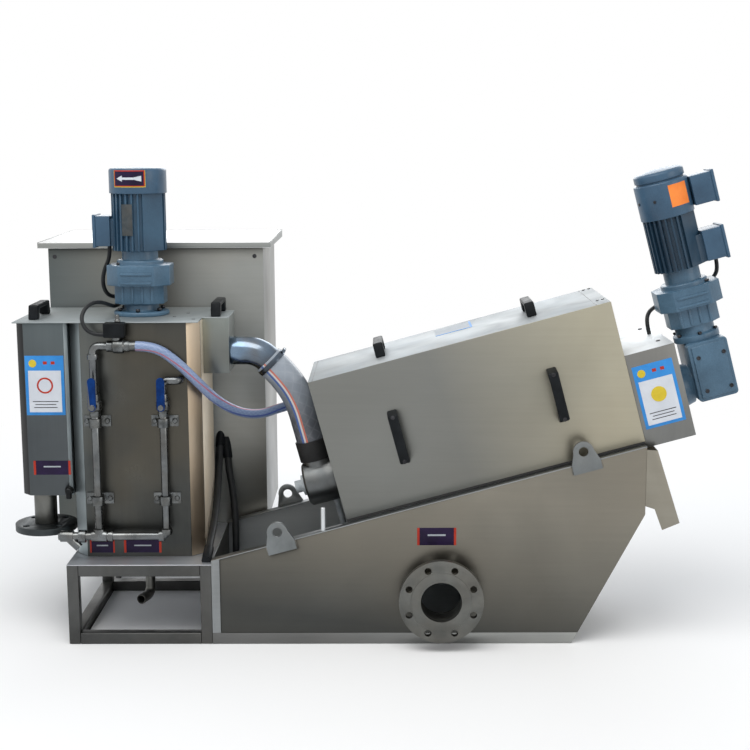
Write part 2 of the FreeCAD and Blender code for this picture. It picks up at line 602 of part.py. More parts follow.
def drive():
    middle = BARREL_Y
    start = COVER_LENGTH + END_BOX_LENGTH
    adapter = turned([(0, 0), (DRIVE_FLANGE_RADIUS, 0), (DRIVE_FLANGE_RADIUS, DRIVE_FLANGE_THICKNESS),
                      (INPUT_FLANGE_RADIUS, DRIVE_FLANGE_THICKNESS), (INPUT_WAIST_RADIUS, DRIVE_GAP),
                      (0, DRIVE_GAP)], at(start, middle, BARREL_AXIS), X_AXIS)
    left = start + DRIVE_GAP
    right = left + BEVEL_LENGTH
    low = BARREL_AXIS - BEVEL_DROP
    top = low + BEVEL_HEIGHT
    front = middle - BEVEL_DEPTH / 2
    housing = box(left, right, front, middle + BEVEL_DEPTH / 2, low, top)
    housing = fillet_edges(housing, BEVEL_CORNER, lambda edge: along(edge, Y_AXIS))
    margin = BEVEL_COVER_MARGIN
    cover = box(left + margin, right - margin, front - BEVEL_COVER, front, low + margin, top - margin)
    save("drive_gearbox", *square_to_cover(housing.fuse([adapter, cover])))

    axis_x = left + BEVEL_LENGTH / 2 - DRIVE_AXIS_SHIFT
    waist_top = INPUT_FLANGE_THICKNESS + INPUT_WAIST_HEIGHT
    waist = turned([(0, 0), (INPUT_FLANGE_RADIUS, 0), (INPUT_FLANGE_RADIUS, INPUT_FLANGE_THICKNESS),
                    (INPUT_WAIST_RADIUS, INPUT_FLANGE_THICKNESS + 4), (INPUT_WAIST_RADIUS, waist_top),
                    (0, waist_top)], at(axis_x, middle, top), Z_AXIS)
    unit = gear_unit(at(axis_x, middle, top + waist_top), DRIVE_STAGE_HEIGHT - waist_top)
    save("drive_gear_stage", *square_to_cover(waist.fuse(unit)))
    motor_foot = top + DRIVE_STAGE_HEIGHT
    motor = finned_motor(DRIVE_MOTOR_RADIUS, DRIVE_MOTOR_LENGTH, at(axis_x, middle, motor_foot), 1,
                         DRIVE_TERMINAL_WIDTH, DRIVE_TERMINAL_RISE, DRIVE_TERMINAL_HEIGHT)
    save("drive_motor", *square_to_cover(motor))
    fan_foot = motor_foot + DRIVE_MOTOR_LENGTH
    cowl = DRIVE_COWL_RADIUS
    cap = DRIVE_CAP_RADIUS
    groove = DRIVE_COWL_HEIGHT + 4
    crown = DRIVE_COWL_HEIGHT + DRIVE_CAP_HEIGHT
    fan = turned([(0, 0), (cowl, 0), (cowl, DRIVE_COWL_HEIGHT - 3), (cowl - 3, DRIVE_COWL_HEIGHT),
                  (cap - 4, DRIVE_COWL_HEIGHT), (cap - 4, groove), (cap, groove), (cap, crown - FAN_DOME - 5),
                  (cap - 6, crown - FAN_DOME), (cap / 2, crown - 1), (0, crown)],
                 at(axis_x, middle, fan_foot), Z_AXIS)
    save("drive_fan_cover", *square_to_cover(fan))
    lower_foot = at(axis_x + DRIVE_MOTOR_RADIUS, middle, motor_foot + DRIVE_TERMINAL_RISE)
    lower = terminal_box(lower_foot, 1, DRIVE_TERMINAL_REACH, DRIVE_TERMINAL_WIDTH, DRIVE_TERMINAL_HEIGHT)
    upper_foot = at(axis_x + cowl, middle, fan_foot + UPPER_TERMINAL_RISE)
    upper = terminal_box(upper_foot, 1, UPPER_TERMINAL_REACH, UPPER_TERMINAL_WIDTH, UPPER_TERMINAL_HEIGHT)
    save("drive_terminal_boxes", *square_to_cover(lower, upper))


def gear_unit(foot, height):
    """Cast helical unit: a narrow foot block, a wide block with cut corners, a round cap and the neck
    that carries the motor, height above the foot in all."""
    shoulder = GEAR_FOOT_HEIGHT + GEAR_HEIGHT
    collar = shoulder + GEAR_CAP_HEIGHT
    lower = octagon(GEAR_FOOT_WIDTH, GEAR_FOOT_DEPTH, GEAR_FOOT_CORNER, 0, GEAR_FOOT_HEIGHT)
    main = octagon(GEAR_WIDTH, GEAR_DEPTH, GEAR_CORNER, GEAR_FOOT_HEIGHT, shoulder)
    crown = turned([(0, shoulder), (GEAR_CAP_RADIUS, shoulder), (GEAR_CAP_RADIUS, collar - 3),
                    (GEAR_CAP_RADIUS - 3, collar), (GEAR_NECK_RADIUS, collar), (GEAR_NECK_RADIUS, height),
                    (0, height)], at(0, 0, 0), Z_AXIS)
    unit = lower.fuse([main, crown])
    unit.translate(foot)
    return unit


def finned_motor(radius, height, base, side, seat_width, seat_rise, seat_height):
    """Motor frame: a round body with two wide flat pads, cooling fins between them, and a flat seat for
    a terminal box on its right (side 1) or left (side -1)."""
    root = radius - FIN_HEIGHT
    space = 180.0 - PAD_ANGLE
    pitch = space / (FINS_BETWEEN_PADS + 0.5)
    ribs = []
    for pad in (PAD_TURN, PAD_TURN + 180.0):
        ribs.append((pad - PAD_ANGLE / 2, pad + PAD_ANGLE / 2))
        for number in range(FINS_BETWEEN_PADS):
            begin = pad + PAD_ANGLE / 2 + (number + 0.6) * pitch
            ribs.append((begin, begin + 0.32 * pitch))
    points = []
    for begin, end in ribs:
        for angle, reach in ((begin, root), (begin, radius), (end, radius), (end, root)):
            turn = math.radians(angle)
            points.append((reach * math.cos(turn), reach * math.sin(turn)))
    half = seat_width / 2 - SEAT_MARGIN
    seat = box(min(0, side * radius), max(0, side * radius), -half, half, seat_rise,
               seat_rise + seat_height - SEAT_MARGIN)
    body = profile_along_z(points, 0, height).fuse(seat).removeSplitter()
    body.translate(base)
    return body


def terminal_box(foot, side, reach, width, height):
    """Terminal box on a motor's flank: side is 1 to the right and -1 to the left of the foot, which is
    the middle of the lower edge on the motor. The lid stands out all round."""
    near, far, outer = (side * value for value in (0.0, reach - TERMINAL_LID, reach))
    body = box(min(near, far), max(near, far), -width / 2, width / 2, 0, height)
    lip = TERMINAL_LIP
    lid = box(min(far, outer), max(far, outer), -width / 2 - lip, width / 2 + lip, -lip, height + lip)
    whole = body.fuse(lid)
    whole.translate(foot)
    return whole


# Mixing tank, metering box and outlet box: folded sheet with cut corners
def chamfered_outline(x0, x1, y0, y1, left, right):
    """Plan outline whose front and rear corners are cut by left and right."""
    return [(x0 + left, y0), (x1 - right, y0), (x1, y0 + right), (x1, y1 - right), (x1 - right, y1),
            (x0 + left, y1), (x0, y1 - left), (x0, y0 + left)]


def mixing_tank():
    outer = chamfered_outline(TANK_LEFT, TANK_RIGHT, TANK_FRONT, TANK_REAR, TANK_CHAMFER, TANK_CHAMFER)
    inner = chamfered_outline(TANK_LEFT + SHEET, TANK_RIGHT - SHEET, TANK_FRONT + SHEET, TANK_REAR - SHEET,
                              TANK_CHAMFER, TANK_CHAMFER)
    wall = profile_along_z(outer, DECK_TOP, TANK_TOP).cut(profile_along_z(inner, DECK_TOP, TANK_TOP))
    save("mixing_tank", wall)
    lid_left = TANK_LEFT - METER_WIDTH - LID_SIDE
    lid_rear = TANK_REAR + LID_BACK
    outlet_front = TANK_FRONT + OUTLET_BOX_SET_BACK
    outlet_right = TANK_RIGHT + OUTLET_BOX_WIDTH
    lid = box(lid_left, TANK_RIGHT, TANK_FRONT - LID_OVERHANG, lid_rear, TANK_TOP, LID_TOP)
    tab = box(TANK_RIGHT, outlet_right, outlet_front, outlet_front + OUTLET_BOX_DEPTH, TANK_TOP, LID_TOP)
    save("tank_lid", lid.fuse(tab).removeSplitter())


def metering_box():
    right = TANK_LEFT
    left = right - METER_WIDTH
    low = TANK_TOP - METER_HEIGHT
    pipe_x = left + DOWNPIPE_FROM_LEFT
    pipe_y = TANK_FRONT + DOWNPIPE_FROM_FRONT
    outer = chamfered_outline(left, right, TANK_FRONT, TANK_REAR, METER_CHAMFER, METER_CREASE)
    inner = chamfered_outline(left + SHEET, right - SHEET, TANK_FRONT + SHEET, TANK_REAR - SHEET,
                              METER_CHAMFER, METER_CREASE)
    inside = profile_along_z(inner, low + SHEET, TANK_TOP)
    pipe_hole = rod(INLET_BORE / 2, at(pipe_x, pipe_y, low), Z_AXIS, SHEET)
    save("metering_box", profile_along_z(outer, low, TANK_TOP).cut([inside, pipe_hole]))
    pipe_foot = at(pipe_x, pipe_y, low - DOWNPIPE_LENGTH)
    save("inlet_downpipe", tube(DOWNPIPE_RADIUS, INLET_BORE / 2, pipe_foot, Z_AXIS, DOWNPIPE_LENGTH))
    flange_face = pipe_foot - Z_AXIS * INLET_FLANGE_THICKNESS
    flange = tube(INLET_FLANGE / 2, INLET_BORE / 2, flange_face, Z_AXIS, INLET_FLANGE_THICKNESS)
    pins = bolt_circle(INLET_PITCH_CIRCLE, INLET_HOLES, INLET_HOLE, flange_face, Z_AXIS, X_AXIS,
                       INLET_FLANGE_THICKNESS)
    save("inlet_flange", flange.cut(pins))


def outlet_box():
    front = TANK_FRONT + OUTLET_BOX_SET_BACK
    rear = front + OUTLET_BOX_DEPTH
    right = TANK_RIGHT + OUTLET_BOX_WIDTH
    low = TANK_TOP - OUTLET_BOX_HEIGHT
    shell = box(TANK_RIGHT, right, front, rear, low, TANK_TOP)
    inner = box(TANK_RIGHT + SHEET, right - SHEET, front + SHEET, rear - SHEET, low + SHEET, TANK_TOP)
    elbow_hole = rod(FEED_RADIUS - FEED_WALL, at(right - SHEET, BARREL_Y, LID_TOP - FEED_DROP), X_AXIS, SHEET)
    save("outlet_box", shell.cut([inner, elbow_hole]))
    meter_x = TANK_LEFT - METER_WIDTH / 2 - METER_HANDLE_LEFT
    meter_handle = at(meter_x, TANK_FRONT + METER_HANDLE_BACK, LID_TOP)
    outlet_handle = at((TANK_RIGHT + right) / 2, (front + rear) / 2, LID_TOP)
    save("lid_handles", handle(meter_handle, Z_AXIS, Y_AXIS), handle(outlet_handle, Z_AXIS, Y_AXIS))


# Pipes and hoses: straight runs joined by tangent arcs
def rounded_path(points, bend=None):
    """Wire through points; bend is the radius of every corner, or None for arcs of 0.45 of the shorter
    run over the tangent of half the turn. Gives the wire and its smallest radius."""
    edges = []
    radii = []
    last = points[0]
    for index in range(1, len(points) - 1):
        before, corner, after = points[index - 1], points[index], points[index + 1]
        into = (corner - before).normalize()
        out = (after - corner).normalize()
        half_turn = math.acos(into.dot(out)) / 2
        reach = 0.45 * min((corner - before).Length, (after - corner).Length)
        if bend:
            reach = bend * math.tan(half_turn)
        radius = reach / math.tan(half_turn)
        radii.append(radius)
        begin = corner - into * reach
        end = corner + out * reach
        centre = corner + (out - into).normalize() * (radius / math.cos(half_turn))
        halfway = centre - (out - into).normalize() * radius
        if (begin - last).Length > 1e-6:
            edges.append(Part.LineSegment(last, begin).toShape())
        edges.append(Part.Arc(begin, halfway, end).toShape())
        last = end
    edges.append(Part.LineSegment(last, points[-1]).toShape())
    return Part.Wire(edges), min(radii)


def bent_bar(points, radius, bend=None):
    path = rounded_path(points, bend)[0]
    ring = Part.Wire(Part.makeCircle(radius, points[0], points[1] - points[0]))
    return path.makePipeShell([ring], True, False)


def bent_pipe(points, radius, bore, bend=None):
    return bent_bar(points, radius, bend).cut(bent_bar(points, bore, bend))


def cord(name, route, radius):
    """Flexible hose or cable, with its length and its smallest bend printed."""
    points = [at(*point) for point in route]
    path, least = rounded_path(points)
    solid = bent_bar(points, radius)
    expected = math.pi * radius ** 2 * path.Length
    print(name, "length", round(path.Length, 1), "smallest radius", round(least, 1),
          "volume ratio", round(solid.Volume / expected, 4))
    save(name, solid)


# Feed line from the outlet box to the barrel: stainless elbow, clear hose, clamp and rubber cuff
def feed_line():
    middle = BARREL_Y
    start = at(TANK_RIGHT + OUTLET_BOX_WIDTH, middle, LID_TOP - FEED_DROP)
    fall = at(math.sqrt(0.5), 0, -math.sqrt(0.5))
    corner = start + X_AXIS * (ELBOW_LEAD + ELBOW_BEND * math.tan(math.radians(22.5)))
    hose_start = corner + fall * (ELBOW_BEND * math.tan(math.radians(22.5)))
    elbow = bent_pipe([start, corner, hose_start + fall * HOSE_GRIP], FEED_RADIUS, FEED_RADIUS - FEED_WALL,
                      ELBOW_BEND)
    save("feed_elbow", elbow)

    slope = math.radians(PAN_SLOPE)
    up = at(-math.sin(slope), 0, math.cos(slope))
    right = at(math.cos(slope), 0, math.sin(slope))
    base = at(PAN_LEFT + COVER_START, middle, pan_top(PAN_LEFT + COVER_START))
    neck_end = BARREL_AXIS + CHAMBER_RADIUS + NECK_RISE
    hose_end = base - right * (CHAMBER_REACH / 2) + up * (neck_end - HOSE_GRIP)
    gap = hose_end - hose_start
    across = fall.x * up.z - fall.z * up.x
    run = (gap.x * up.z - gap.z * up.x) / across
    bend_point = hose_start + fall * run
    half_turn = math.acos(-fall.dot(up)) / 2
    shorter_leg = min(run, (hose_end - bend_point).Length)
    bend = (shorter_leg - HOSE_GRIP - HOSE_LEAD) / math.tan(half_turn)
    bore = FEED_RADIUS + SEAT
    hose_radius = FEED_RADIUS + HOSE_WALL
    save("feed_hose", bent_pipe([hose_start, bend_point, hose_end], hose_radius, bore, bend))
    band = hose_radius + SEAT
    clamp = tube(band + 2, band, hose_start + fall * 6, fall, 14)
    screw = rod(5, hose_start + fall * 13 + at(0, -14, 0) + fall.cross(Y_AXIS) * (band + 6), Y_AXIS, 28)
    save("hose_clamp", clamp.fuse(screw.cut(rod(band + 1, hose_start, fall, 40))))
    save("hose_cuff", tube(band + CUFF_THICKNESS, band, hose_end, up, CUFF_LENGTH))


# Wash water line: DN15 stainless pipe clipped to the front of the mixing tank
def fitting_along(axis, centre, length, radius):
    return rod(radius, centre - axis * (length / 2), axis, length)


def wash_line():
    y = TANK_FRONT - PIPE_STAND_OFF
    half = FITTING_LENGTH / 2
    left_low = at(WASH_LEFT_X, y, WASH_LOW_Z)
    right_low = at(WASH_RIGHT_X, y, WASH_LOW_Z)
    inlet_x = WASH_LEFT_X - 108
    header = bent_bar([at(inlet_x, y, WASH_LOW_Z), right_low, right_low + Z_AXIS * half], PIPE_RADIUS, 16)
    header = header.fuse([fitting_along(X_AXIS, left_low, FITTING_LENGTH, FITTING_RADIUS),
                          rod(FITTING_RADIUS, left_low, Z_AXIS, half),
                          fitting_along(X_AXIS, left_low - X_AXIS * 45, 18, FITTING_RADIUS + 2),
                          fitting_along(X_AXIS, left_low + X_AXIS * 30, 12, FITTING_RADIUS),
                          rod(FITTING_RADIUS, right_low + Z_AXIS * 6, Z_AXIS, half - 6),
                          rod(FITTING_RADIUS, right_low - X_AXIS * half, X_AXIS, half - 6)])
    strainer = at(inlet_x + STRAINER_OFFSET, y, WASH_LOW_Z)
    leg = at(math.sqrt(0.5), 0, -math.sqrt(0.5))
    header = header.fuse([fitting_along(X_AXIS, strainer, STRAINER_BODY, FITTING_RADIUS),
                          rod(STRAINER_RADIUS, strainer, leg, STRAINER_LEG)])
    inlet_bore = rod(PIPE_RADIUS - 2.5, at(inlet_x, y, WASH_LOW_Z), X_AXIS, 20)
    save("wash_header", header.cut(inlet_bore).removeSplitter())

    valve_low = VALVE_Z - VALVE_LENGTH / 2
    valve_high = VALVE_Z + VALVE_LENGTH / 2
    foot = WASH_LOW_Z + half
    lower = rod(PIPE_RADIUS, at(WASH_LEFT_X, y, foot), Z_AXIS, valve_low - foot)
    elbow = at(WASH_LEFT_X, y, WASH_ELBOW_Z)
    upper = bent_bar([at(WASH_LEFT_X, y, valve_high), elbow, elbow + X_AXIS * SOLENOID_OFFSET],
                     PIPE_RADIUS, 16)
    nut = rod(FITTING_RADIUS, elbow - Z_AXIS * 34, Z_AXIS, 14)
    left_riser = [lower, upper.fuse(nut).removeSplitter()]

    lower = rod(PIPE_RADIUS, at(WASH_RIGHT_X, y, foot), Z_AXIS, valve_low - foot)
    elbow = at(WASH_RIGHT_X, y, STUB_Z)
    stub = at(TANK_RIGHT - TANK_CHAMFER - 16, y, STUB_Z)
    upper = bent_bar([at(WASH_RIGHT_X, y, valve_high), elbow, stub, at(stub.x, TANK_FRONT, STUB_Z)],
                     PIPE_RADIUS, 14)
    save("wash_risers", *left_riser, lower, upper)
    valves(y)
    pipe_clips(y)
    solenoid_valve(y)


def valves(y):
    """Two ball valves, each with a stem that carries its lever."""
    half = VALVE_LENGTH / 2
    bodies = []
    boss_face = y - VALVE_BOSS
    for name, x in (("lever_left", WASH_LEFT_X), ("lever_right", WASH_RIGHT_X)):
        body = turned([(0, -half), (14, -half), (14, -half + 16), (18, -half + 20), (18, half - 20),
                       (14, half - 16), (14, half), (0, half)], at(x, y, VALVE_Z), Z_AXIS)
        boss = rod(10, at(x, boss_face, VALVE_Z), Y_AXIS, VALVE_BOSS)
        socket = rod(STEM_RADIUS + STEM_CLEARANCE, at(x, boss_face, VALVE_Z), Y_AXIS, 16)
        bodies.append(body.fuse(boss).cut(socket))
        save(name, lever(x, boss_face))
    save("wash_valves", *bodies)


def lever(x, boss_face):
    """Blue lever standing along the pipe, with the stem that it turns."""
    face = boss_face - LEVER_GAP
    half = LEVER_WIDTH / 2
    blade = box(x - half, x + half, face - LEVER_THICKNESS, face, VALVE_Z, VALVE_Z + LEVER_LENGTH - half)
    hub = rod(half, at(x, face - LEVER_THICKNESS, VALVE_Z), Y_AXIS, LEVER_THICKNESS)
    tip = rod(half, at(x, face - LEVER_THICKNESS, VALVE_Z + LEVER_LENGTH - half), Y_AXIS, LEVER_THICKNESS)
    nut = rod(7, at(x, face - LEVER_THICKNESS - 5, VALVE_Z), Y_AXIS, 5)
    stem = rod(STEM_RADIUS, at(x, face, VALVE_Z), Y_AXIS, LEVER_GAP + 14)
    return blade.fuse([hub, tip, nut, stem]).removeSplitter()


def pipe_clips(y):
    """Saddle clips: a wall plate, a block and a ring round the pipe."""
    clips = []
    for x in (WASH_LEFT_X, WASH_RIGHT_X):
        for z in (CLIP_LOW_Z, CLIP_HIGH_Z):
            plate = box(x - 36, x + 36, TANK_FRONT - 4, TANK_FRONT, z - 15, z + 15)
            block = box(x - 12, x + 12, y, TANK_FRONT - 4, z - 12, z + 12)
            ring = rod(PIPE_RADIUS + 6, at(x, y, z - 12), Z_AXIS, 24)
            bore = rod(PIPE_RADIUS + SEAT, at(x, y, z - 15), Z_AXIS, 30)
            clips.append(plate.fuse([block, ring]).cut(bore).removeSplitter())
    save("pipe_clips", *clips)


def solenoid_valve(y):
    left = WASH_LEFT_X + SOLENOID_OFFSET
    body = turned([(0, 0), (15, 0), (15, 14), (19, 18), (19, 42), (15, 46), (15, 58), (13, 58),
                   (13, SOLENOID_LENGTH), (0, SOLENOID_LENGTH)], at(left, y, WASH_ELBOW_Z), X_AXIS)
    neck = rod(11, at(left + 24, y, WASH_ELBOW_Z), Z_AXIS, 24)
    save("solenoid_body", body.fuse(neck).removeSplitter())
    coil = box(left - 6, left + 48, y - 20, y + 12, WASH_ELBOW_Z + 24, WASH_ELBOW_Z + 62)
    save("solenoid_coil", coil)


# Drain under the mixing tank: a pipe through the deck that ends in an open elbow
def tank_drain():
    bottom = FRAME_HEIGHT - DRAIN_DROP
    points = [at(TANK_MIDDLE_X, TANK_MIDDLE_Y, FRAME_HEIGHT), at(TANK_MIDDLE_X, TANK_MIDDLE_Y, bottom),
              at(TANK_MIDDLE_X - DRAIN_REACH / 3, TANK_MIDDLE_Y - DRAIN_REACH, bottom)]
    save("tank_drain", bent_pipe(points, DRAIN_RADIUS, DRAIN_RADIUS - DRAIN_WALL, DRAIN_BEND))


# Flexible lines, held at both ends
def flexible_lines():
    hose = [(-172, -188, 790), (-124, -188, 790), (-66, -186, 748), (-16, -166, 690), (24, -116, 634),
            (74, -50, 588), (130, 6, 570), (182, 42, 582), (228.22, 50, 593.64), (271.69, 50, 605.29)]
    cord("wash_hose", hose, WASH_HOSE_RADIUS)
    agitator_cable = [(-266, -6, 1037), (-266, -6, 1005), (-284, 0, 972), (-292, 8, 934), (-284, 24, 900),
                      (-262, 56, 890), (-232, 88, 892), (-205, 120, 900), (-196, 150, 905)]
    cord("agitator_cable", agitator_cable, AGITATOR_CABLE_RADIUS)
    solenoid_cable = [(-252, -194, 821), (-278, -194, 821), (-300, -199, 837), (-310, -193, 864),
                      (-303, -170, 888), (-287, -141, 899), (-271, -108, 895), (-260, -70, 884),
                      (-257, -28, 875), (-258, 16, 872), (-254, 60, 873), (-245, 102, 880), (-240, 142, 892)]
    cord("solenoid_cable", solenoid_cable, SOLENOID_CABLE_RADIUS)
    drive_cable = [(1130, -2, 401), (1130, -2, 370), (1121, 22, 342), (1088, 56, 319), (1042, 74, 308),
                   (990, 72, 304), (948, 48, 300), (922, 18, 293), (911, 4, 268), (911, 4, 239)]
    cord("drive_cable", along_cover(drive_cable), DRIVE_CABLE_RADIUS)
    front_cable = [(-2, 161, 448), (-2, 124, 396), (0, 66, 338), (1.5, -8, 294), (1.5, -86, 262),
                   (1, -158, 240)]
    tank_cable = [(19.5, 163, 412), (24, 150, 376), (36, 134, 318), (43, 116, 250), (45, 100, 184),
                  (44.5, 90, 118), (44.5, 86, 55)]
    cord("cabinet_cable_front", front_cable, CABINET_CABLE_RADIUS)
    cord("cabinet_cable_tank", tank_cable, CABINET_CABLE_RADIUS)
    cable_glands([(agitator_cable[-1], agitator_cable[-2]), (solenoid_cable[-1], solenoid_cable[-2])],
                 front_cable, tank_cable)


def along_cover(points):
    """Points given along the barrel, as square_to_cover places solids."""
    turn = FreeCAD.Rotation(Y_AXIS, -PAN_SLOPE)
    base = at(PAN_LEFT + COVER_START, 0, pan_top(PAN_LEFT + COVER_START))
    return [tuple(turn.multVec(at(*point)) + base) for point in points]


def cable_glands(upper_ends, front_cable, tank_cable):
    """Round glands that the cables come out of and end in, cut square to what carries them. Each end is
    given with the point of the route before it."""
    reach = 400.0
    before_cabinet = at(-reach, -reach, 0)
    carriers = [(end, GLAND_RADIUS_SMALL, 0.0) for end in upper_ends]
    carriers += [((front_cable[0], front_cable[1]), GLAND_RADIUS, 0.0),
                 ((tank_cable[0], tank_cable[1]), GLAND_RADIUS, 0.0),
                 ((front_cable[-1], front_cable[-2]), GLAND_RADIUS, DECK_TOP),
                 ((tank_cable[-1], tank_cable[-2]), GLAND_RADIUS, TUBE + SHEET)]
    glands = []
    for (end, inner), radius, floor in carriers:
        away = (at(*end) - at(*inner)).normalize()
        corner = before_cabinet + Z_AXIS * floor
        space = Part.makeBox(2 * reach, CABINET_FRONT + reach, TANK_TOP + reach, corner)
        glands.append(rod(radius, at(*end), away, GLAND_REACH).common(space))
    save("cable_glands", *glands)


# Agitator drive on the tank lid
def agitator():
    x = TANK_MIDDLE_X
    y = TANK_MIDDLE_Y
    z = LID_TOP
    flange_top = AGITATOR_FLANGE_THICKNESS
    neck_top = flange_top + AGITATOR_NECK_HEIGHT
    pedestal = turned([(0, 0), (AGITATOR_FLANGE_RADIUS, 0), (AGITATOR_FLANGE_RADIUS, flange_top),
                       (AGITATOR_NECK_RADIUS, flange_top), (AGITATOR_NECK_RADIUS, neck_top), (0, neck_top)],
                      at(x, y, z), Z_AXIS)
    save("agitator_pedestal", pedestal)
    z += neck_top
    save("agitator_gearbox", gear_unit(at(x, y, z), AGITATOR_STAGE_HEIGHT))
    z += AGITATOR_STAGE_HEIGHT
    save("agitator_motor", finned_motor(AGITATOR_MOTOR_RADIUS, AGITATOR_MOTOR_HEIGHT, at(x, y, z), -1,
                                        AGITATOR_TERMINAL_WIDTH, AGITATOR_TERMINAL_RISE,
                                        AGITATOR_TERMINAL_HEIGHT))
    box_foot = at(x - AGITATOR_MOTOR_RADIUS, y, z + AGITATOR_TERMINAL_RISE)
    save("agitator_terminal_box", terminal_box(box_foot, -1, AGITATOR_TERMINAL_REACH,
                                               AGITATOR_TERMINAL_WIDTH, AGITATOR_TERMINAL_HEIGHT))
    z += AGITATOR_MOTOR_HEIGHT
    radius = AGITATOR_FAN_RADIUS
    height = AGITATOR_FAN_HEIGHT
    fan = turned([(0, 0), (radius, 0), (radius, height - FAN_DOME - 4), (radius - 4, height - FAN_DOME),
                  (radius / 2, height - 1), (0, height)], at(x, y, z), Z_AXIS)
    save("agitator_fan_cover", fan)


# Control cabinet behind the tank, with a rain roof
def control_cabinet():
    right = FRAME_RIGHT + CABINET_OVERLAP
    left = right - CABINET_WIDTH
    top = DECK_TOP + CABINET_HEIGHT
    body = box(left, right, CABINET_FRONT, CABINET_REAR, DECK_TOP, top)
    inside = box(left + CABINET_SHEET, right - CABINET_SHEET, CABINET_FRONT + CABINET_SHEET, CABINET_REAR,
                 DECK_TOP + CABINET_SHEET, top - CABINET_SHEET)
    save("cabinet_body", body.cut(inside))
    front = CABINET_FRONT - ROOF_OVERHANG
    rear = CABINET_REAR + ROOF_OVERHANG
    outer = profile_along_x([(front, top), (rear, top), (rear, top + ROOF_LIP + ROOF_FALL),
                             (front, top + ROOF_LIP)], left - ROOF_OVERHANG, right + ROOF_OVERHANG)
    wall = CABINET_SHEET
    ceiling = top + ROOF_LIP - wall
    hollow = profile_along_x([(front + wall, top), (rear - wall, top), (rear - wall, ceiling + ROOF_FALL),
                              (front + wall, ceiling)],
                             left - ROOF_OVERHANG + wall, right + ROOF_OVERHANG - wall)
    webs = [box(x, x + wall, CABINET_FRONT, CABINET_REAR, top, ceiling) for x in (left, right - wall)]
    save("cabinet_roof", outer.cut(hollow).fuse(webs))
    save("cabinet_door", box(left, right, CABINET_REAR, CABINET_REAR + DOOR_THICKNESS, DECK_TOP, top))


def profile_along_x(points, x0, x1):
    """Solid with an outline in Y and Z, from x0 to x1."""
    corners = [at(x0, y, z) for y, z in points]
    return Part.Face(Part.makePolygon(corners + corners[:1])).extrude(at(x1 - x0, 0, 0))


os.makedirs("parts", exist_ok=True)
base_frame()
filtrate_tank()
filtrate_outlet()
discharge_chute()
screw_cover()
screw_barrel()
end_box()
drive()
mixing_tank()
metering_box()
outlet_box()
agitator()
control_cabinet()
feed_line()
wash_line()
tank_drain()
flexible_lines()
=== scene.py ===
import bpy
import math
from mathutils import Matrix, Vector


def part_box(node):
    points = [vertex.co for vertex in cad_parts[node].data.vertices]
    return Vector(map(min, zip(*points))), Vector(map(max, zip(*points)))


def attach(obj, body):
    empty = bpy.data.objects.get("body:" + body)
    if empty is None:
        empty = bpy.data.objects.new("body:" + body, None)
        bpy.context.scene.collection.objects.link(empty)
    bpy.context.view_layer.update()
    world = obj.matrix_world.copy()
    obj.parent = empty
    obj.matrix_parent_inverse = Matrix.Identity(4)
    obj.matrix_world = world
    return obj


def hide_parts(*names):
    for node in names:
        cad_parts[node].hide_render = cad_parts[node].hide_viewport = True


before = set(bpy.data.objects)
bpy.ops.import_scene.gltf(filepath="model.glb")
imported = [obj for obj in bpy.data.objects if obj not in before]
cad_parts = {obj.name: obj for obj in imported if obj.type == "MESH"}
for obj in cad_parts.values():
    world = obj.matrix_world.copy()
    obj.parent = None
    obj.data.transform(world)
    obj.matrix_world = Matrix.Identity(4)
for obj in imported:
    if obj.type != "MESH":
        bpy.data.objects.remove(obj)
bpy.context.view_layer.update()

scene = bpy.context.scene
scene.view_settings.view_transform = "Standard"

# Studio: a pale floor that runs out into a white surround, one large soft light overhead, a softer
# one from behind for the upper faces and a weak fill from the right.
def node(tree, kind, inputs=None, **settings):
    """Add a shader node. Each input is a plain value or the socket that feeds it."""
    made = tree.nodes.new("ShaderNode" + kind)
    for key, value in settings.items():
        setattr(made, key, value)
    for key, value in (inputs or {}).items():
        if isinstance(value, bpy.types.NodeSocket):
            tree.links.new(value, made.inputs[key])
        else:
            made.inputs[key].default_value = value
    return made


def worked(tree, operation, *values, clamp=False):
    """Result of one step of arithmetic."""
    return node(tree, "Math", dict(enumerate(values)), operation=operation, use_clamp=clamp).outputs[0]


def mapped(tree, value, start, end, low=0.0, high=1.0, **settings):
    """Value that goes from low to high while the given one goes from start to end, and stays there."""
    limits = {"Value": value, "From Min": start, "From Max": end, "To Min": low, "To Max": high}
    return node(tree, "MapRange", limits, **settings).outputs[0]


def seen_directly(tree):
    """1 for rays that show the surround itself: from the camera, off gloss and through glass."""
    path = node(tree, "LightPath").outputs
    gloss = worked(tree, "MAXIMUM", path["Is Camera Ray"], path["Is Glossy Ray"])
    return worked(tree, "MAXIMUM", gloss, path["Is Transmission Ray"])


SURROUND_LEVEL = 0.62
surround = bpy.data.worlds.new("surround")
scene.world = surround
surround.use_nodes = True
tree = surround.node_tree
tree.nodes.clear()
lighting = node(tree, "Background", {"Color": (0.93, 0.96, 1.0, 1.0), "Strength": SURROUND_LEVEL})
backdrop = node(tree, "Background", {"Color": (1.0, 1.0, 1.0, 1.0), "Strength": 1.0})
either = node(tree, "MixShader", {0: seen_directly(tree), 1: lighting.outputs[0], 2: backdrop.outputs[0]})
node(tree, "OutputWorld", {"Surface": either.outputs[0]})

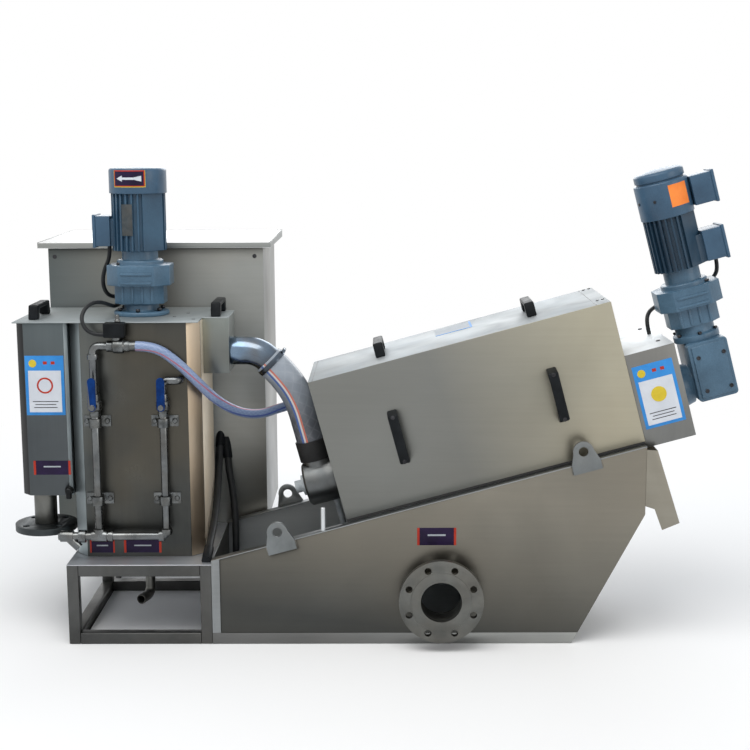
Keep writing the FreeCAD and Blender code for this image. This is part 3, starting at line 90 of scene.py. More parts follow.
FLOOR_SIZE = 40.0
FLOOR_MIDDLE = (0.5, 0.0, -0.0005)
FLOOR_NEAR = 1.6
FLOOR_FAR = 3.2
bpy.ops.object.select_all(action="DESELECT")
bpy.ops.mesh.primitive_plane_add(size=FLOOR_SIZE, location=FLOOR_MIDDLE)
floor = bpy.context.object
floor.name = "floor"
paint = bpy.data.materials.new("floor_white")
paint.use_nodes = True
tree = paint.node_tree
tree.nodes.clear()
place = node(tree, "TexCoord")
distance = node(tree, "VectorMath", {0: place.outputs["Object"]}, operation="LENGTH")
fade = mapped(tree, distance.outputs["Value"], FLOOR_NEAR, FLOOR_FAR, interpolation_type="SMOOTHSTEP")
white_out = worked(tree, "MULTIPLY", fade, seen_directly(tree))
matt = node(tree, "BsdfDiffuse", {"Color": (0.90, 0.90, 0.90, 1.0)})
glow = node(tree, "Emission", {"Color": (1.0, 1.0, 1.0, 1.0), "Strength": 1.0})
either = node(tree, "MixShader", {0: white_out, 1: matt.outputs[0], 2: glow.outputs[0]})
node(tree, "OutputMaterial", {"Surface": either.outputs[0]})
floor.data.materials.append(paint)


def soft_light(name, place, target, width, depth, power, colour):
    """Rectangular area light at place that faces target."""
    lamp = bpy.data.lights.new(name, "AREA")
    lamp.shape = "RECTANGLE"
    lamp.size = width
    lamp.size_y = depth
    lamp.energy = power
    lamp.color = colour
    holder = bpy.data.objects.new(name, lamp)
    scene.collection.objects.link(holder)
    holder.location = place
    holder.rotation_euler = (Vector(target) - Vector(place)).to_track_quat("-Z", "Y").to_euler()


MACHINE_MIDDLE = (0.45, 0.1, 0.6)
soft_light("overhead", (-0.4, -1.6, 3.6), MACHINE_MIDDLE, 3.6, 2.4, 95.0, (1.0, 0.99, 0.97))
soft_light("behind", (0.9, 4.2, 2.6), MACHINE_MIDDLE, 5.0, 2.0, 90.0, (0.96, 0.98, 1.0))
soft_light("right_fill", (4.2, -2.6, 1.8), MACHINE_MIDDLE, 2.0, 2.0, 26.0, (1.0, 0.96, 0.9))

# Camera: the photograph's place and angle, worked out from two vanishing directions of the machine,
# with the angles in degrees and the focal length in pixels of the picture.
CAMERA_PLACE = (0.472, -3.740, 1.313)
FOCAL_PIXELS = 1390.0
FRAME_PIXELS = 750.0
PITCH_DOWN = 9.6
TURN_LEFT = 0.41
ROLL = -0.25
lens = bpy.data.cameras.new("camera")
lens.sensor_width = 36.0
lens.lens = FOCAL_PIXELS / FRAME_PIXELS * lens.sensor_width
lens.clip_end = 100.0
camera = bpy.data.objects.new("camera", lens)
scene.collection.objects.link(camera)
aim = (Matrix.Rotation(math.radians(TURN_LEFT), 4, "Z") @ Matrix.Rotation(math.radians(90 - PITCH_DOWN), 4, "X")
       @ Matrix.Rotation(math.radians(ROLL), 4, "Z"))
camera.matrix_world = Matrix.Translation(CAMERA_PLACE) @ aim
scene.camera = camera

# Cables: black rubber-sheathed leads between the cabinet, the motors, the wash valve and the tank.
# Each lies along the control points of its route, in metres.
def pick(piece):
    """Make one piece the only selected and active one."""
    bpy.ops.object.select_all(action="DESELECT")
    piece.select_set(True)
    bpy.context.view_layer.objects.active = piece


def placed(name, data):
    """New object of a mesh or a curve, at the origin."""
    piece = bpy.data.objects.new(name, data)
    scene.collection.objects.link(piece)
    return piece


def route_line(name, points):
    """Smooth open line of one spline with the points as its control points."""
    line = bpy.data.curves.new(name, "CURVE")
    line.dimensions = "3D"
    line.resolution_u = 12
    spline = line.splines.new("NURBS")
    spline.points.add(len(points) - 1)
    for control, point in zip(spline.points, points):
        control.co = (*point, 1.0)
    spline.order_u = 3
    spline.use_endpoint_u = True
    return placed(name, line)


def material(name):
    """New node material: gives the material, its tree, its shader and its object coordinates."""
    made = bpy.data.materials.new(name)
    made.use_nodes = True
    tree = made.node_tree
    tree.nodes.clear()
    shader = node(tree, "BsdfPrincipled")
    node(tree, "OutputMaterial", {"Surface": shader.outputs[0]})
    place = node(tree, "TexCoord").outputs["Object"]
    return made, tree, shader, place


def blended(tree, share, first, second, way="MIX"):
    """Mix of two colours, which are sockets 6 and 7 of the node."""
    return node(tree, "Mix", {"Factor": share, 6: first, 7: second}, data_type="RGBA", blend_type=way).outputs[2]


def surface_group(name, values):
    """Shader group that puts out a colour, a roughness and a height, with the named values as its
    inputs. Gives the group, what comes in and what goes out."""
    group = bpy.data.node_groups.new(name, "ShaderNodeTree")
    for label, value in values.items():
        kind = "Float" if isinstance(value, float) else "Color" if len(value) == 4 else "Vector"
        group.interface.new_socket(label, in_out="INPUT", socket_type="NodeSocket" + kind).default_value = value
    for label, kind in (("Colour", "Color"), ("Roughness", "Float"), ("Height", "Float")):
        group.interface.new_socket(label, in_out="OUTPUT", socket_type="NodeSocket" + kind)
    return group, group.nodes.new("NodeGroupInput").outputs, group.nodes.new("NodeGroupOutput").inputs


def surfaced(name, group, values, bump, strength):
    """Material whose colour, roughness and relief come from a surface group. Gives the material, its
    tree, its shader, its object coordinates and the group's node."""
    made, tree, shader, place = material(name)
    surface = tree.nodes.new("ShaderNodeGroup")
    surface.node_tree = group
    tree.links.new(place, surface.inputs["Vector"])
    for label, value in values.items():
        surface.inputs[label].default_value = value
    tree.links.new(surface.outputs["Colour"], shader.inputs["Base Color"])
    tree.links.new(surface.outputs["Roughness"], shader.inputs["Roughness"])
    relief = node(tree, "Bump", {"Height": surface.outputs["Height"], "Distance": bump, "Strength": strength})
    tree.links.new(relief.outputs[0], shader.inputs["Normal"])
    return made, tree, shader, place, surface


def skin_group():
    """Moulded or cast skin: a fine grain, wider clouds of shade and a dusty cast between two colours."""
    group, given, out = surface_group("moulded_skin", {
        "Vector": (0, 0, 0), "Deep": (0, 0, 0, 1), "Pale": (1, 1, 1, 1), "Grain size": 900.0, "Cloud size": 6.0,
        "Smooth": 0.4, "Rough": 0.6})
    clouds = node(group, "TexNoise", {"Vector": given["Vector"], "Scale": given["Cloud size"], "Detail": 4.0,
                                      "Roughness": 0.6})
    grain = node(group, "TexNoise", {"Vector": given["Vector"], "Scale": given["Grain size"], "Detail": 2.0})
    spread = mapped(group, clouds.outputs[0], 0.3, 0.7)
    speck = mapped(group, grain.outputs[0], 0.3, 0.7, -0.14, 0.14)
    share = worked(group, "ADD", spread, speck, clamp=True)
    group.links.new(blended(group, share, given["Deep"], given["Pale"]), out["Colour"])
    group.links.new(mapped(group, share, 0.0, 1.0, given["Smooth"], given["Rough"]), out["Roughness"])
    group.links.new(grain.outputs[0], out["Height"])
    return group


moulded_skin = skin_group()
COAT_ROUGHNESS = 0.12


def moulded(name, deep, pale, smooth, rough, grain=900.0, cloud=6.0, bump=0.0002, coat=0.0, metallic=0.0,
            gloss=0.5):
    """Plastic, rubber or enamel on the moulded skin."""
    values = {"Deep": (*deep, 1), "Pale": (*pale, 1), "Grain size": grain, "Cloud size": cloud, "Smooth": smooth,
              "Rough": rough}
    made, tree, shader, place, skin = surfaced(name, moulded_skin, values, bump, 0.6)
    for label, value in (("Specular IOR Level", gloss), ("Coat Weight", coat), ("Coat Roughness", COAT_ROUGHNESS),
                         ("Metallic", metallic)):
        shader.inputs[label].default_value = value
    return made


cable_sheath = moulded("cable_sheath", (0.005, 0.006, 0.007), (0.018, 0.020, 0.022), 0.42, 0.6, cloud=40.0, gloss=0.3)
CABLES = {
    "agitator_cable": (0.011, 0.3021, [(-0.266, -0.006, 1.037), (-0.266, -0.006, 1.005), (-0.284, 0, 0.972),
                                       (-0.292, 0.008, 0.934), (-0.284, 0.024, 0.900), (-0.262, 0.056, 0.890),
                                       (-0.232, 0.088, 0.892), (-0.205, 0.120, 0.900), (-0.196, 0.150, 0.905)]),
    "solenoid_cable": (0.0105, 0.4419, [(-0.252, -0.194, 0.821), (-0.278, -0.194, 0.821), (-0.300, -0.199, 0.837),
                                        (-0.310, -0.193, 0.864), (-0.303, -0.170, 0.888), (-0.287, -0.141, 0.899),
                                        (-0.271, -0.108, 0.895), (-0.260, -0.070, 0.884),
                                        (-0.257, -0.028, 0.875), (-0.258, 0.016, 0.872),
                                        (-0.254, 0.060, 0.873), (-0.245, 0.102, 0.880),
                                        (-0.240, 0.142, 0.892)]),
    "cabinet_cable_front": (0.020, 0.3909, [(-0.002, 0.161, 0.448), (-0.002, 0.124, 0.396), (0, 0.066, 0.338),
                                            (0.0015, -0.008, 0.294), (0.0015, -0.086, 0.262),
                                            (0.001, -0.158, 0.240)]),
    "cabinet_cable_tank": (0.020, 0.3682, [(0.0195, 0.163, 0.412), (0.024, 0.150, 0.376), (0.036, 0.134, 0.318),
                                           (0.043, 0.116, 0.250), (0.045, 0.100, 0.184), (0.0445, 0.090, 0.118),
                                           (0.0445, 0.086, 0.055)]),
}
SLOPE = math.radians(15)
COVER_START = 0.357
cover_base = Vector((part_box("tank_rims")[0].x + COVER_START, 0.0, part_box("screw_cover")[0].z))


def on_cover(along, across, up):
    """Point given along the barrel, across it and square to it."""
    turn = Matrix.Rotation(-SLOPE, 3, "Y")
    return cover_base + turn @ Vector((along, across, up))


drive_route = [(1.130, -0.002, 0.401), (1.130, -0.002, 0.370), (1.121, 0.022, 0.342), (1.088, 0.056, 0.319),
               (1.042, 0.074, 0.308), (0.990, 0.072, 0.304), (0.948, 0.048, 0.300), (0.922, 0.018, 0.293),
               (0.911, 0.004, 0.268), (0.911, 0.004, 0.239)]
CABLES["drive_cable"] = (0.011, 0.3660, [on_cover(*point) for point in drive_route])
for name, (diameter, length, points) in CABLES.items():
    cable = route_line(name + "_lead", points)
    cable.data.bevel_depth = diameter / 2
    cable.data.bevel_resolution = 6
    cable.data.use_fill_caps = True
    cable.data.materials.append(cable_sheath)
    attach(cable, "machine")
    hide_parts(name)

# Wash hose: clear lilac PVC with a reinforcing braid and thin red and blue stripes, pushed on to the
# valve's tail and the cover's nipple.
def swept_tube(name, points, radius, sides, turns=0.0):
    """Mesh tube along the smooth line of the route's points, with U round it and V along it in metres.
    turns is how often U goes round in a metre. Gives the piece and the points that it follows."""
    line = route_line(name + "_route", points)
    outline = bpy.data.meshes.new_from_object(line.evaluated_get(bpy.context.evaluated_depsgraph_get()))
    followed = [vertex.co.copy() for vertex in outline.vertices]
    bpy.data.meshes.remove(outline)
    bpy.data.objects.remove(line)
    side = Vector((0, 0, 1)).cross(followed[1] - followed[0]).normalized()
    corners, faces, runs = [], [], []
    run = 0.0
    for index, point in enumerate(followed):
        before = followed[max(index - 1, 0)]
        after = followed[min(index + 1, len(followed) - 1)]
        forward = (after - before).normalized()
        side = (side - forward * side.dot(forward)).normalized()
        up = forward.cross(side)
        run += (point - before).length
        runs.append(run)
        for number in range(sides):
            angle = 2 * math.pi * number / sides
            corners.append(point + side * (radius * math.cos(angle)) + up * (radius * math.sin(angle)))
    for ring in range(len(followed) - 1):
        for number in range(sides):
            first, second = ring * sides + number, ring * sides + (number + 1) % sides
            faces.append((first, second, second + sides, first + sides))
    faces.append(tuple(reversed(range(sides))))
    faces.append(tuple(range((len(followed) - 1) * sides, len(followed) * sides)))
    mesh = bpy.data.meshes.new(name)
    mesh.from_pydata([tuple(corner) for corner in corners], [], faces)
    layer = mesh.uv_layers.new(name="UVMap")
    for face in mesh.polygons:
        if len(face.vertices) > 4:
            continue
        ring, number = divmod(face.index, sides)
        for loop, (step, level) in zip(face.loop_indices, ((0, 0), (1, 0), (1, 1), (0, 1))):
            along = runs[ring + level]
            layer.data[loop].uv = ((number + step) / sides + turns * along, along)
    piece = placed(name, mesh)
    pick(piece)
    bpy.ops.object.shade_smooth_by_angle(angle=math.radians(40))
    return piece, followed


BRAID_THREADS = 8.0
BRAID_SHARE = 0.16
BRAID_COLOUR = (0.86, 0.86, 0.88, 1)


def striped_hose(name, wall, tint, stripes, braid, alpha, roughness, web, fade=None):
    """Clear hose: a faint braid under the skin, and stripes given as (place round it, half width, colour).
    braid is how many threads a metre along the hose crosses, and web how pale they show. fade is the
    height below which the wall darkens, how far it takes, and the tint there."""
    made, tree, shader, place = material(name)
    split = node(tree, "SeparateXYZ", {0: node(tree, "TexCoord").outputs["UV"]}).outputs
    turn = worked(tree, "FRACT", split[0])
    clouds = node(tree, "TexNoise", {"Vector": place, "Scale": 26.0, "Detail": 3.0}).outputs[0]
    colour = blended(tree, clouds, (*wall, 1), (*tint, 1))
    if fade:
        level, drop, dim = fade
        height = node(tree, "SeparateXYZ", {0: place}).outputs[2]
        low = mapped(tree, height, level, level - drop)
        colour = blended(tree, low, colour, (*dim, 1), "MULTIPLY")
    lead = worked(tree, "MULTIPLY", split[1], braid)
    threads = []
    for way in (BRAID_THREADS, -BRAID_THREADS):
        wave = worked(tree, "FRACT", worked(tree, "MULTIPLY_ADD", split[0], way, lead))
        threads.append(worked(tree, "LESS_THAN", wave, BRAID_SHARE))
    weave = worked(tree, "MAXIMUM", *threads)
    colour = blended(tree, worked(tree, "MULTIPLY", weave, web), colour, BRAID_COLOUR)
    cover = worked(tree, "MULTIPLY_ADD", weave, 0.2, alpha, clamp=True)
    for middle, half, shade in stripes:
        near = worked(tree, "PINGPONG", worked(tree, "SUBTRACT", turn, middle), 1.0)
        mask = mapped(tree, near, half * 0.8, half * 1.2, 0.92, 0.0)
        colour = blended(tree, mask, colour, (*shade, 1))
        cover = worked(tree, "MAXIMUM", cover, mask)
    tree.links.new(colour, shader.inputs["Base Color"])
    tree.links.new(cover, shader.inputs["Alpha"])
    relief = node(tree, "Bump", {"Height": weave, "Distance": 0.0002, "Strength": 0.3})
    tree.links.new(relief.outputs[0], shader.inputs["Normal"])
    tree.links.new(mapped(tree, clouds, 0.0, 1.0, roughness, roughness + 0.14), shader.inputs["Roughness"])
    shader.inputs["Specular IOR Level"].default_value = 0.6
    return made


WASH_HOSE_DIAMETER = 0.026
WASH_ROUTE = [(-0.172, -0.188, 0.790), (-0.124, -0.188, 0.790), (-0.066, -0.186, 0.748), (-0.016, -0.166, 0.690),
              (0.024, -0.116, 0.634), (0.074, -0.050, 0.588), (0.130, 0.006, 0.570), (0.182, 0.042, 0.582),
              (0.22822, 0.050, 0.59364), (0.27169, 0.050, 0.60529)]
wash_hose, followed = swept_tube("wash_hose_clear", WASH_ROUTE, WASH_HOSE_DIAMETER / 2, 28, turns=0.9)
wash_hose.data.materials.append(striped_hose("lilac_pvc", (0.145, 0.205, 0.345), (0.245, 0.325, 0.515),
                                             ((0.62, 0.022, (0.42, 0.10, 0.14)), (0.86, 0.03, (0.06, 0.10, 0.34))),
                                             60.0, 0.92, 0.26, web=0.06))
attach(wash_hose, "machine")
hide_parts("wash_hose")

# Base frame: welded square tube in satin stainless with a thin deck plate on top. The outer arrises
# are drawn tube radii.
def grain_group():
    """Mill-finished sheet: drawn lines, painted clouds of reflection, a warm cast in patches and a slow
    painted change of light and shade along the piece."""
    group, given, out = surface_group("sheet_grain", {
        "Vector": (0, 0, 0), "Lines": (3, 3, 700), "Dark": (0.2, 0.2, 0.2, 1), "Light": (0.5, 0.5, 0.5, 1),
        "Warm": (0.5, 0.45, 0.38, 1), "Warmth": 0.4, "Far tint": (1, 1, 1, 1), "Far": 0.0, "Cloud size": 2.2,
        "Smooth": 0.26, "Rough": 0.42})
    clouds = node(group, "TexNoise", {"Vector": given["Vector"], "Scale": given["Cloud size"], "Detail": 4.0,
                                      "Roughness": 0.5, "Distortion": 0.5})
    stretched = node(group, "VectorMath", {0: given["Vector"], 1: given["Lines"]}, operation="MULTIPLY")
    lines = node(group, "TexNoise", {"Vector": stretched.outputs[0], "Scale": 1.0, "Detail": 4.0, "Roughness": 0.7})
    soft = mapped(group, clouds.outputs[0], 0.3, 0.7)
    drawn = mapped(group, lines.outputs[0], 0.3, 0.7, -0.10, 0.10)
    share = worked(group, "ADD", soft, drawn, clamp=True)
    patch = node(group, "VectorMath", {0: given["Vector"], 1: (7.3, 2.9, 4.1)}, operation="ADD")
    casts = node(group, "TexNoise", {"Vector": patch.outputs[0], "Scale": given["Cloud size"], "Detail": 2.0})
    cast = worked(group, "MULTIPLY", mapped(group, casts.outputs[0], 0.42, 0.66), given["Warmth"])
    colour = blended(group, cast, blended(group, share, given["Dark"], given["Light"]), given["Warm"])
    group.links.new(blended(group, given["Far"], colour, given["Far tint"], "MULTIPLY"), out["Colour"])
    group.links.new(mapped(group, share, 0.0, 1.0, given["Rough"], given["Smooth"]), out["Roughness"])
    group.links.new(lines.outputs[0], out["Height"])
    return group


sheet_grain = grain_group()
ACROSS = (3.0, 60.0, 90.0)
UPRIGHT = (90.0, 90.0, 3.0)
EVEN = (50.0, 50.0, 50.0)


def stainless(name, dark, light, warm, warmth, lines, smooth=0.30, rough=0.46, cloud=2.2, bump=0.00005, fade=None):
    """Stainless sheet or tube on the sheet grain. fade is (direction, start, end, tint): the tint that
    the colour takes on along a direction, as painted light and shade."""
    values = {"Lines": lines, "Dark": (*dark, 1), "Light": (*light, 1), "Warm": (*warm, 1), "Warmth": warmth,
              "Cloud size": cloud, "Smooth": smooth, "Rough": rough}
    made, tree, shader, place, grain = surfaced(name, sheet_grain, values, bump, 0.5)
    if fade:
        direction, start, end, tint = fade
        run = node(tree, "VectorMath", {0: place, 1: direction}, operation="DOT_PRODUCT")
        tree.links.new(mapped(tree, run.outputs["Value"], start, end), grain.inputs["Far"])
        grain.inputs["Far tint"].default_value = (*tint, 1)
    shader.inputs["Metallic"].default_value = 1.0
    return made


MERGE_DISTANCE = 0.00001
FLAT_ANGLE = math.radians(0.8)
ARRIS_ANGLE = math.radians(28)
SMOOTH_ANGLE = math.radians(38)


def rounded_copy(part, width, finish, body="machine", segments=2):
    """Copy of a frame piece with its facets merged and its arrises rounded, in the piece's place."""
    piece = placed(part + "_finished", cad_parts[part].data.copy())
    pick(piece)
    bpy.ops.mesh.customdata_custom_splitnormals_clear()
    bpy.ops.object.mode_set(mode="EDIT")
    bpy.ops.mesh.select_all(action="SELECT")
    bpy.ops.mesh.remove_doubles(threshold=MERGE_DISTANCE)
    bpy.ops.mesh.dissolve_limited(angle_limit=FLAT_ANGLE)
    bpy.ops.object.mode_set(mode="OBJECT")
    bevel = piece.modifiers.new("arrises", "BEVEL")
    bevel.width = width
    bevel.segments = segments
    bevel.limit_method = "ANGLE"
    bevel.angle_limit = ARRIS_ANGLE
    bevel.use_clamp_overlap = True
    bpy.ops.object.modifier_apply(modifier=bevel.name)
    bpy.ops.object.shade_smooth_by_angle(angle=SMOOTH_ANGLE)
    piece.data.materials.clear()
    piece.data.materials.append(finish)
    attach(piece, body)
    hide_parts(part)
    return piece


def paint_faces(piece, finish, wanted):
    """Give the faces for which wanted(face) is true a finish of their own."""
    piece.data.materials.append(finish)
    number = len(piece.data.materials) - 1
    for face in piece.data.polygons:
        if wanted(face):
            face.material_index = number


frame_steel = stainless("frame_tube", (0.062, 0.063, 0.062), (0.108, 0.110, 0.108), (0.115, 0.108, 0.096), 0.25,
                        EVEN, smooth=0.34, rough=0.5, cloud=5.0)
for part in ("frame_posts", "frame_rails"):
    rounded_copy(part, 0.0025, frame_steel, segments=3)
deck_steel = stainless("deck_sheet", (0.46, 0.49, 0.53), (0.70, 0.72, 0.76), (0.62, 0.62, 0.62), 0.2, ACROSS,
                       smooth=0.42, rough=0.58)
rounded_copy("frame_deck", 0.0004, deck_steel, segments=1)

# Filtrate tank: folded 3 mm sheet in a warm satin finish, on square tube rails, with painted shade
# that darkens it towards the foot. Its inside faces are painted paler as painted light, the rails
# get lighter towards the discharge end as painted light, and the rims and the end strip, flats
# welded on, are painted paler as a painted highlight.
# Painted shade: the fade darkens the tank's sheet towards the foot, more at the left.
pan_steel = stainless("tank_sheet", (0.185, 0.174, 0.147), (0.250, 0.234, 0.196), (0.262, 0.234, 0.186), 0.5,
                      ACROSS, smooth=0.32, rough=0.48, cloud=2.4,
                      fade=((-0.16, 0.0, -1.0), -0.53, -0.12, (0.28, 0.31, 0.355)))
# Painted light: the inside faces that look up or forward get this paler copy of the tank sheet.
inside_steel = stainless("tank_inside", (0.34, 0.37, 0.39), (0.50, 0.53, 0.55), (0.46, 0.45, 0.42), 0.3, ACROSS,
                         smooth=0.44, rough=0.6)
# Painted highlight: the rim flats are drawn paler than the sheet they are welded to.
rim_steel = stainless("rim_flat", (0.20, 0.215, 0.225), (0.33, 0.35, 0.36), (0.32, 0.31, 0.29), 0.2, ACROSS,
                      smooth=0.26, rough=0.4)
# Painted light: the fade makes the rails lighter towards the discharge end.
base_steel = stainless("base_tube", (0.115, 0.117, 0.116), (0.165, 0.168, 0.166), (0.17, 0.16, 0.145), 0.2, ACROSS,
                       smooth=0.3, rough=0.44, fade=((1.0, 0.0, 0.0), 0.25, 1.0, (2.5, 2.5, 2.45)))
for part in ("tank_front_plate", "tank_rear_plate", "tank_end_plate", "tank_floor"):
    plate = rounded_copy(part, 0.0006, pan_steel, segments=1)
    if part != "tank_front_plate":
        paint_faces(plate, inside_steel, lambda face: face.normal.y < -0.5 or face.normal.z > 0.5)
base_tube = rounded_copy("tank_base", 0.0012, base_steel)
for point in base_tube.data.vertices:
    point.co.z = max(point.co.z, 0.0)    # the bevel's sharp mitre would dip below the floor
rounded_copy("tank_rims", 0.0012, rim_steel)
lug_steel = stainless("lug_plate", (0.15, 0.162, 0.165), (0.225, 0.242, 0.248), (0.24, 0.235, 0.22), 0.3, EVEN,
                      smooth=0.36, rough=0.5, cloud=9.0)
rounded_copy("lifting_lugs", 0.001, lug_steel)
flange_steel = stainless("turned_flange", (0.098, 0.100, 0.095), (0.165, 0.168, 0.158), (0.165, 0.155, 0.135), 0.4,
                         EVEN, smooth=0.36, rough=0.52, cloud=12.0)
for part in ("filtrate_flange", "filtrate_pipe"):
    rounded_copy(part, 0.0012, flange_steel)
chute_steel = stainless("chute_sheet", (0.22, 0.206, 0.172), (0.30, 0.282, 0.236), (0.31, 0.275, 0.215), 0.4, ACROSS,
                        smooth=0.32, rough=0.48, cloud=4.0)
rounded_copy("discharge_chute", 0.0012, chute_steel)

# Weld beads: stainless filler, a little straw-coloured from the heat, where the outlet pipe meets the
# front plate and its flange, and along the lugs.
def merged(name, pieces, finish):
    """Join loose pieces into one object at the origin, in one finish."""
    bpy.ops.object.select_all(action="DESELECT")
    for piece in pieces:
        piece.select_set(True)
    bpy.context.view_layer.objects.active = pieces[0]
    bpy.ops.object.join()
    whole = bpy.context.object
    whole.name = name
    bpy.ops.object.transform_apply(location=True, rotation=True, scale=True)
    bpy.ops.object.shade_smooth_by_angle(angle=SMOOTH_ANGLE)
    whole.data.materials.clear()
    whole.data.materials.append(finish)
    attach(whole, "machine")


TO_FRONT = Matrix.Rotation(math.radians(90), 4, "X")
UNTURNED = Matrix.Identity(4)
TILTED = Matrix.Rotation(-SLOPE, 4, "Y")
PAN_FACE = -0.233
PAN_START = 0.015
PAN_RIM = 0.228
OUTLET_BEAD_RADIUS = 0.0585
LUG_STEPS = (0.183, 0.976)
LUG_HALF_WIDTH = 0.039


def ring_bead(centre, thickness):
    """Round bead of the outlet pipe, which faces the front."""
    bpy.ops.mesh.primitive_torus_add(major_radius=OUTLET_BEAD_RADIUS, minor_radius=thickness, major_segments=48,
                                     minor_segments=8)
    bead = bpy.context.object
    bead.matrix_world = Matrix.Translation(centre) @ TO_FRONT
    return bead


def slab(size, centre, turn=UNTURNED, rounding=0.0):
    """Rectangular block with rounded arrises."""
    bpy.ops.mesh.primitive_cube_add(size=1.0)
    block = bpy.context.object
    block.scale = size
    bpy.ops.object.transform_apply(location=False, rotation=False, scale=True)
    if rounding:
        bevel = block.modifiers.new("arrises", "BEVEL")
        bevel.width = rounding
        bevel.segments = 2
        bpy.ops.object.modifier_apply(modifier=bevel.name)
    block.matrix_world = Matrix.Translation(centre) @ turn
    return block


weld_steel = stainless("weld_bead", (0.12, 0.118, 0.108), (0.24, 0.235, 0.22), (0.2, 0.165, 0.12), 0.5,
                       (160.0, 160.0, 160.0), smooth=0.3, rough=0.5, cloud=60.0)
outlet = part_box("filtrate_flange")
outlet_x = (outlet[0].x + outlet[1].x) / 2
outlet_z = (outlet[0].z + outlet[1].z) / 2
beads = [ring_bead((outlet_x, PAN_FACE, outlet_z), 0.0035), ring_bead((outlet_x, outlet[1].y, outlet_z), 0.003)]
for along in LUG_STEPS:
    lug = Vector((PAN_START + along, PAN_FACE - 0.001, PAN_RIM + along * math.tan(SLOPE)))
    for side in (-LUG_HALF_WIDTH, LUG_HALF_WIDTH):
        beads.append(slab((0.004, 0.004, 0.022), lug + TILTED.to_3x3() @ Vector((side, 0, -0.014)), TILTED, 0.0015))
merged("weld_beads", beads, weld_steel)

# Barrel under its cover: a stack of fixed and moving stainless rings round the screw, with the cast
# feed chamber at the low end. The folded cover gets lighter and warmer towards the discharge end as
# a painted reflection, and its top faces are painted paler as a painted highlight.
# Painted reflection: the fade lightens and warms the cover towards the discharge end.
cover_steel = stainless("cover_sheet", (0.168, 0.172, 0.162), (0.212, 0.216, 0.203), (0.222, 0.206, 0.172), 0.35,
                        ACROSS, smooth=0.34, rough=0.5, cloud=1.6,
                        fade=((1.0, 0.0, 0.35), 0.85, 1.30, (2.0, 1.85, 1.55)))
# Painted highlight: a paler copy of the sheet for the cover's upward faces.
top_highlight_steel = stainless("top_sheet", (0.31, 0.33, 0.34), (0.40, 0.42, 0.43), (0.35, 0.39, 0.42), 0.5, ACROSS,
                      smooth=0.58, rough=0.72, cloud=7.0)


def faces_up(face):
    """True for faces that look up, which are given a paler colour as a painted highlight."""
    return face.normal.z > 0.9


paint_faces(rounded_copy("screw_cover", 0.002, cover_steel), top_highlight_steel, faces_up)
box_steel = stainless("end_box_sheet", (0.165, 0.168, 0.163), (0.225, 0.228, 0.220), (0.25, 0.232, 0.20), 0.4,
                      UPRIGHT, smooth=0.34, rough=0.5, cloud=3.0)
# Painted highlight: a paler copy of the sheet for the end box's upward faces.
pale_top = stainless("pale_top_sheet", (0.60, 0.62, 0.63), (0.72, 0.74, 0.75), (0.66, 0.70, 0.74), 0.4, ACROSS,
                     smooth=0.6, rough=0.74, cloud=7.0)
paint_faces(rounded_copy("end_box", 0.002, box_steel), pale_top, faces_up)
ring_steel = stainless("barrel_rings", (0.24, 0.24, 0.236), (0.40, 0.40, 0.396), (0.36, 0.345, 0.32), 0.2, EVEN,
                       smooth=0.24, rough=0.4, cloud=12.0)
chamber_steel = stainless("chamber_cast", (0.10, 0.106, 0.108), (0.18, 0.19, 0.193), (0.19, 0.18, 0.165), 0.3, EVEN,
                          smooth=0.34, rough=0.5, cloud=14.0)
for part in ("screw_barrel", "screw_shaft"):
    rounded_copy(part, 0.0008, ring_steel)
rounded_copy("inlet_chamber", 0.002, chamber_steel)
pale_plastic = moulded("pale_plastic", (0.30, 0.33, 0.35), (0.46, 0.50, 0.52), 0.35, 0.5, cloud=60.0, gloss=0.4)
rounded_copy("chamber_fittings", 0.002, pale_plastic)

# Handles: black moulded bridges on the cover and the lid. A countersunk screw in either foot holds
# each, and those on the cover's front can be seen.
def screw_head(place, radius, height, turn, sides=16):
    """Short cylinder that stands on place along the turned Z axis."""
    bpy.ops.mesh.primitive_cylinder_add(vertices=sides, radius=radius, depth=height)
    head = bpy.context.object
    bevel = head.modifiers.new("arris", "BEVEL")
    bevel.width = min(radius, height) * 0.25
    bevel.limit_method = "ANGLE"
    bpy.ops.object.modifier_apply(modifier=bevel.name)
    head.matrix_world = Matrix.Translation(place) @ turn @ Matrix.Translation((0, 0, height / 2))
    return head


handle_plastic = moulded("handle_plastic", (0.005, 0.006, 0.007), (0.012, 0.014, 0.016), 0.34, 0.5, cloud=30.0,
                         gloss=0.1)
for part in ("cover_handles", "lid_handles"):
    rounded_copy(part, 0.004, handle_plastic, segments=3)
COVER_FACE = -0.207
COVER_TOP = 0.385
HANDLE_REACH = 0.038
HANDLE_MIDDLE = 0.186
SCREW_RISE = 0.060
dark_steel = moulded("dark_steel", (0.02, 0.02, 0.022), (0.06, 0.06, 0.065), 0.25, 0.4, cloud=80.0, metallic=0.9)
screws = [screw_head(on_cover(along, COVER_FACE - HANDLE_REACH, up), 0.0055, 0.0012, TILTED @ TO_FRONT)
          for along in (0.190, 0.615) for up in (HANDLE_MIDDLE - SCREW_RISE, HANDLE_MIDDLE + SCREW_RISE)]
merged("handle_screws", screws, dark_steel)

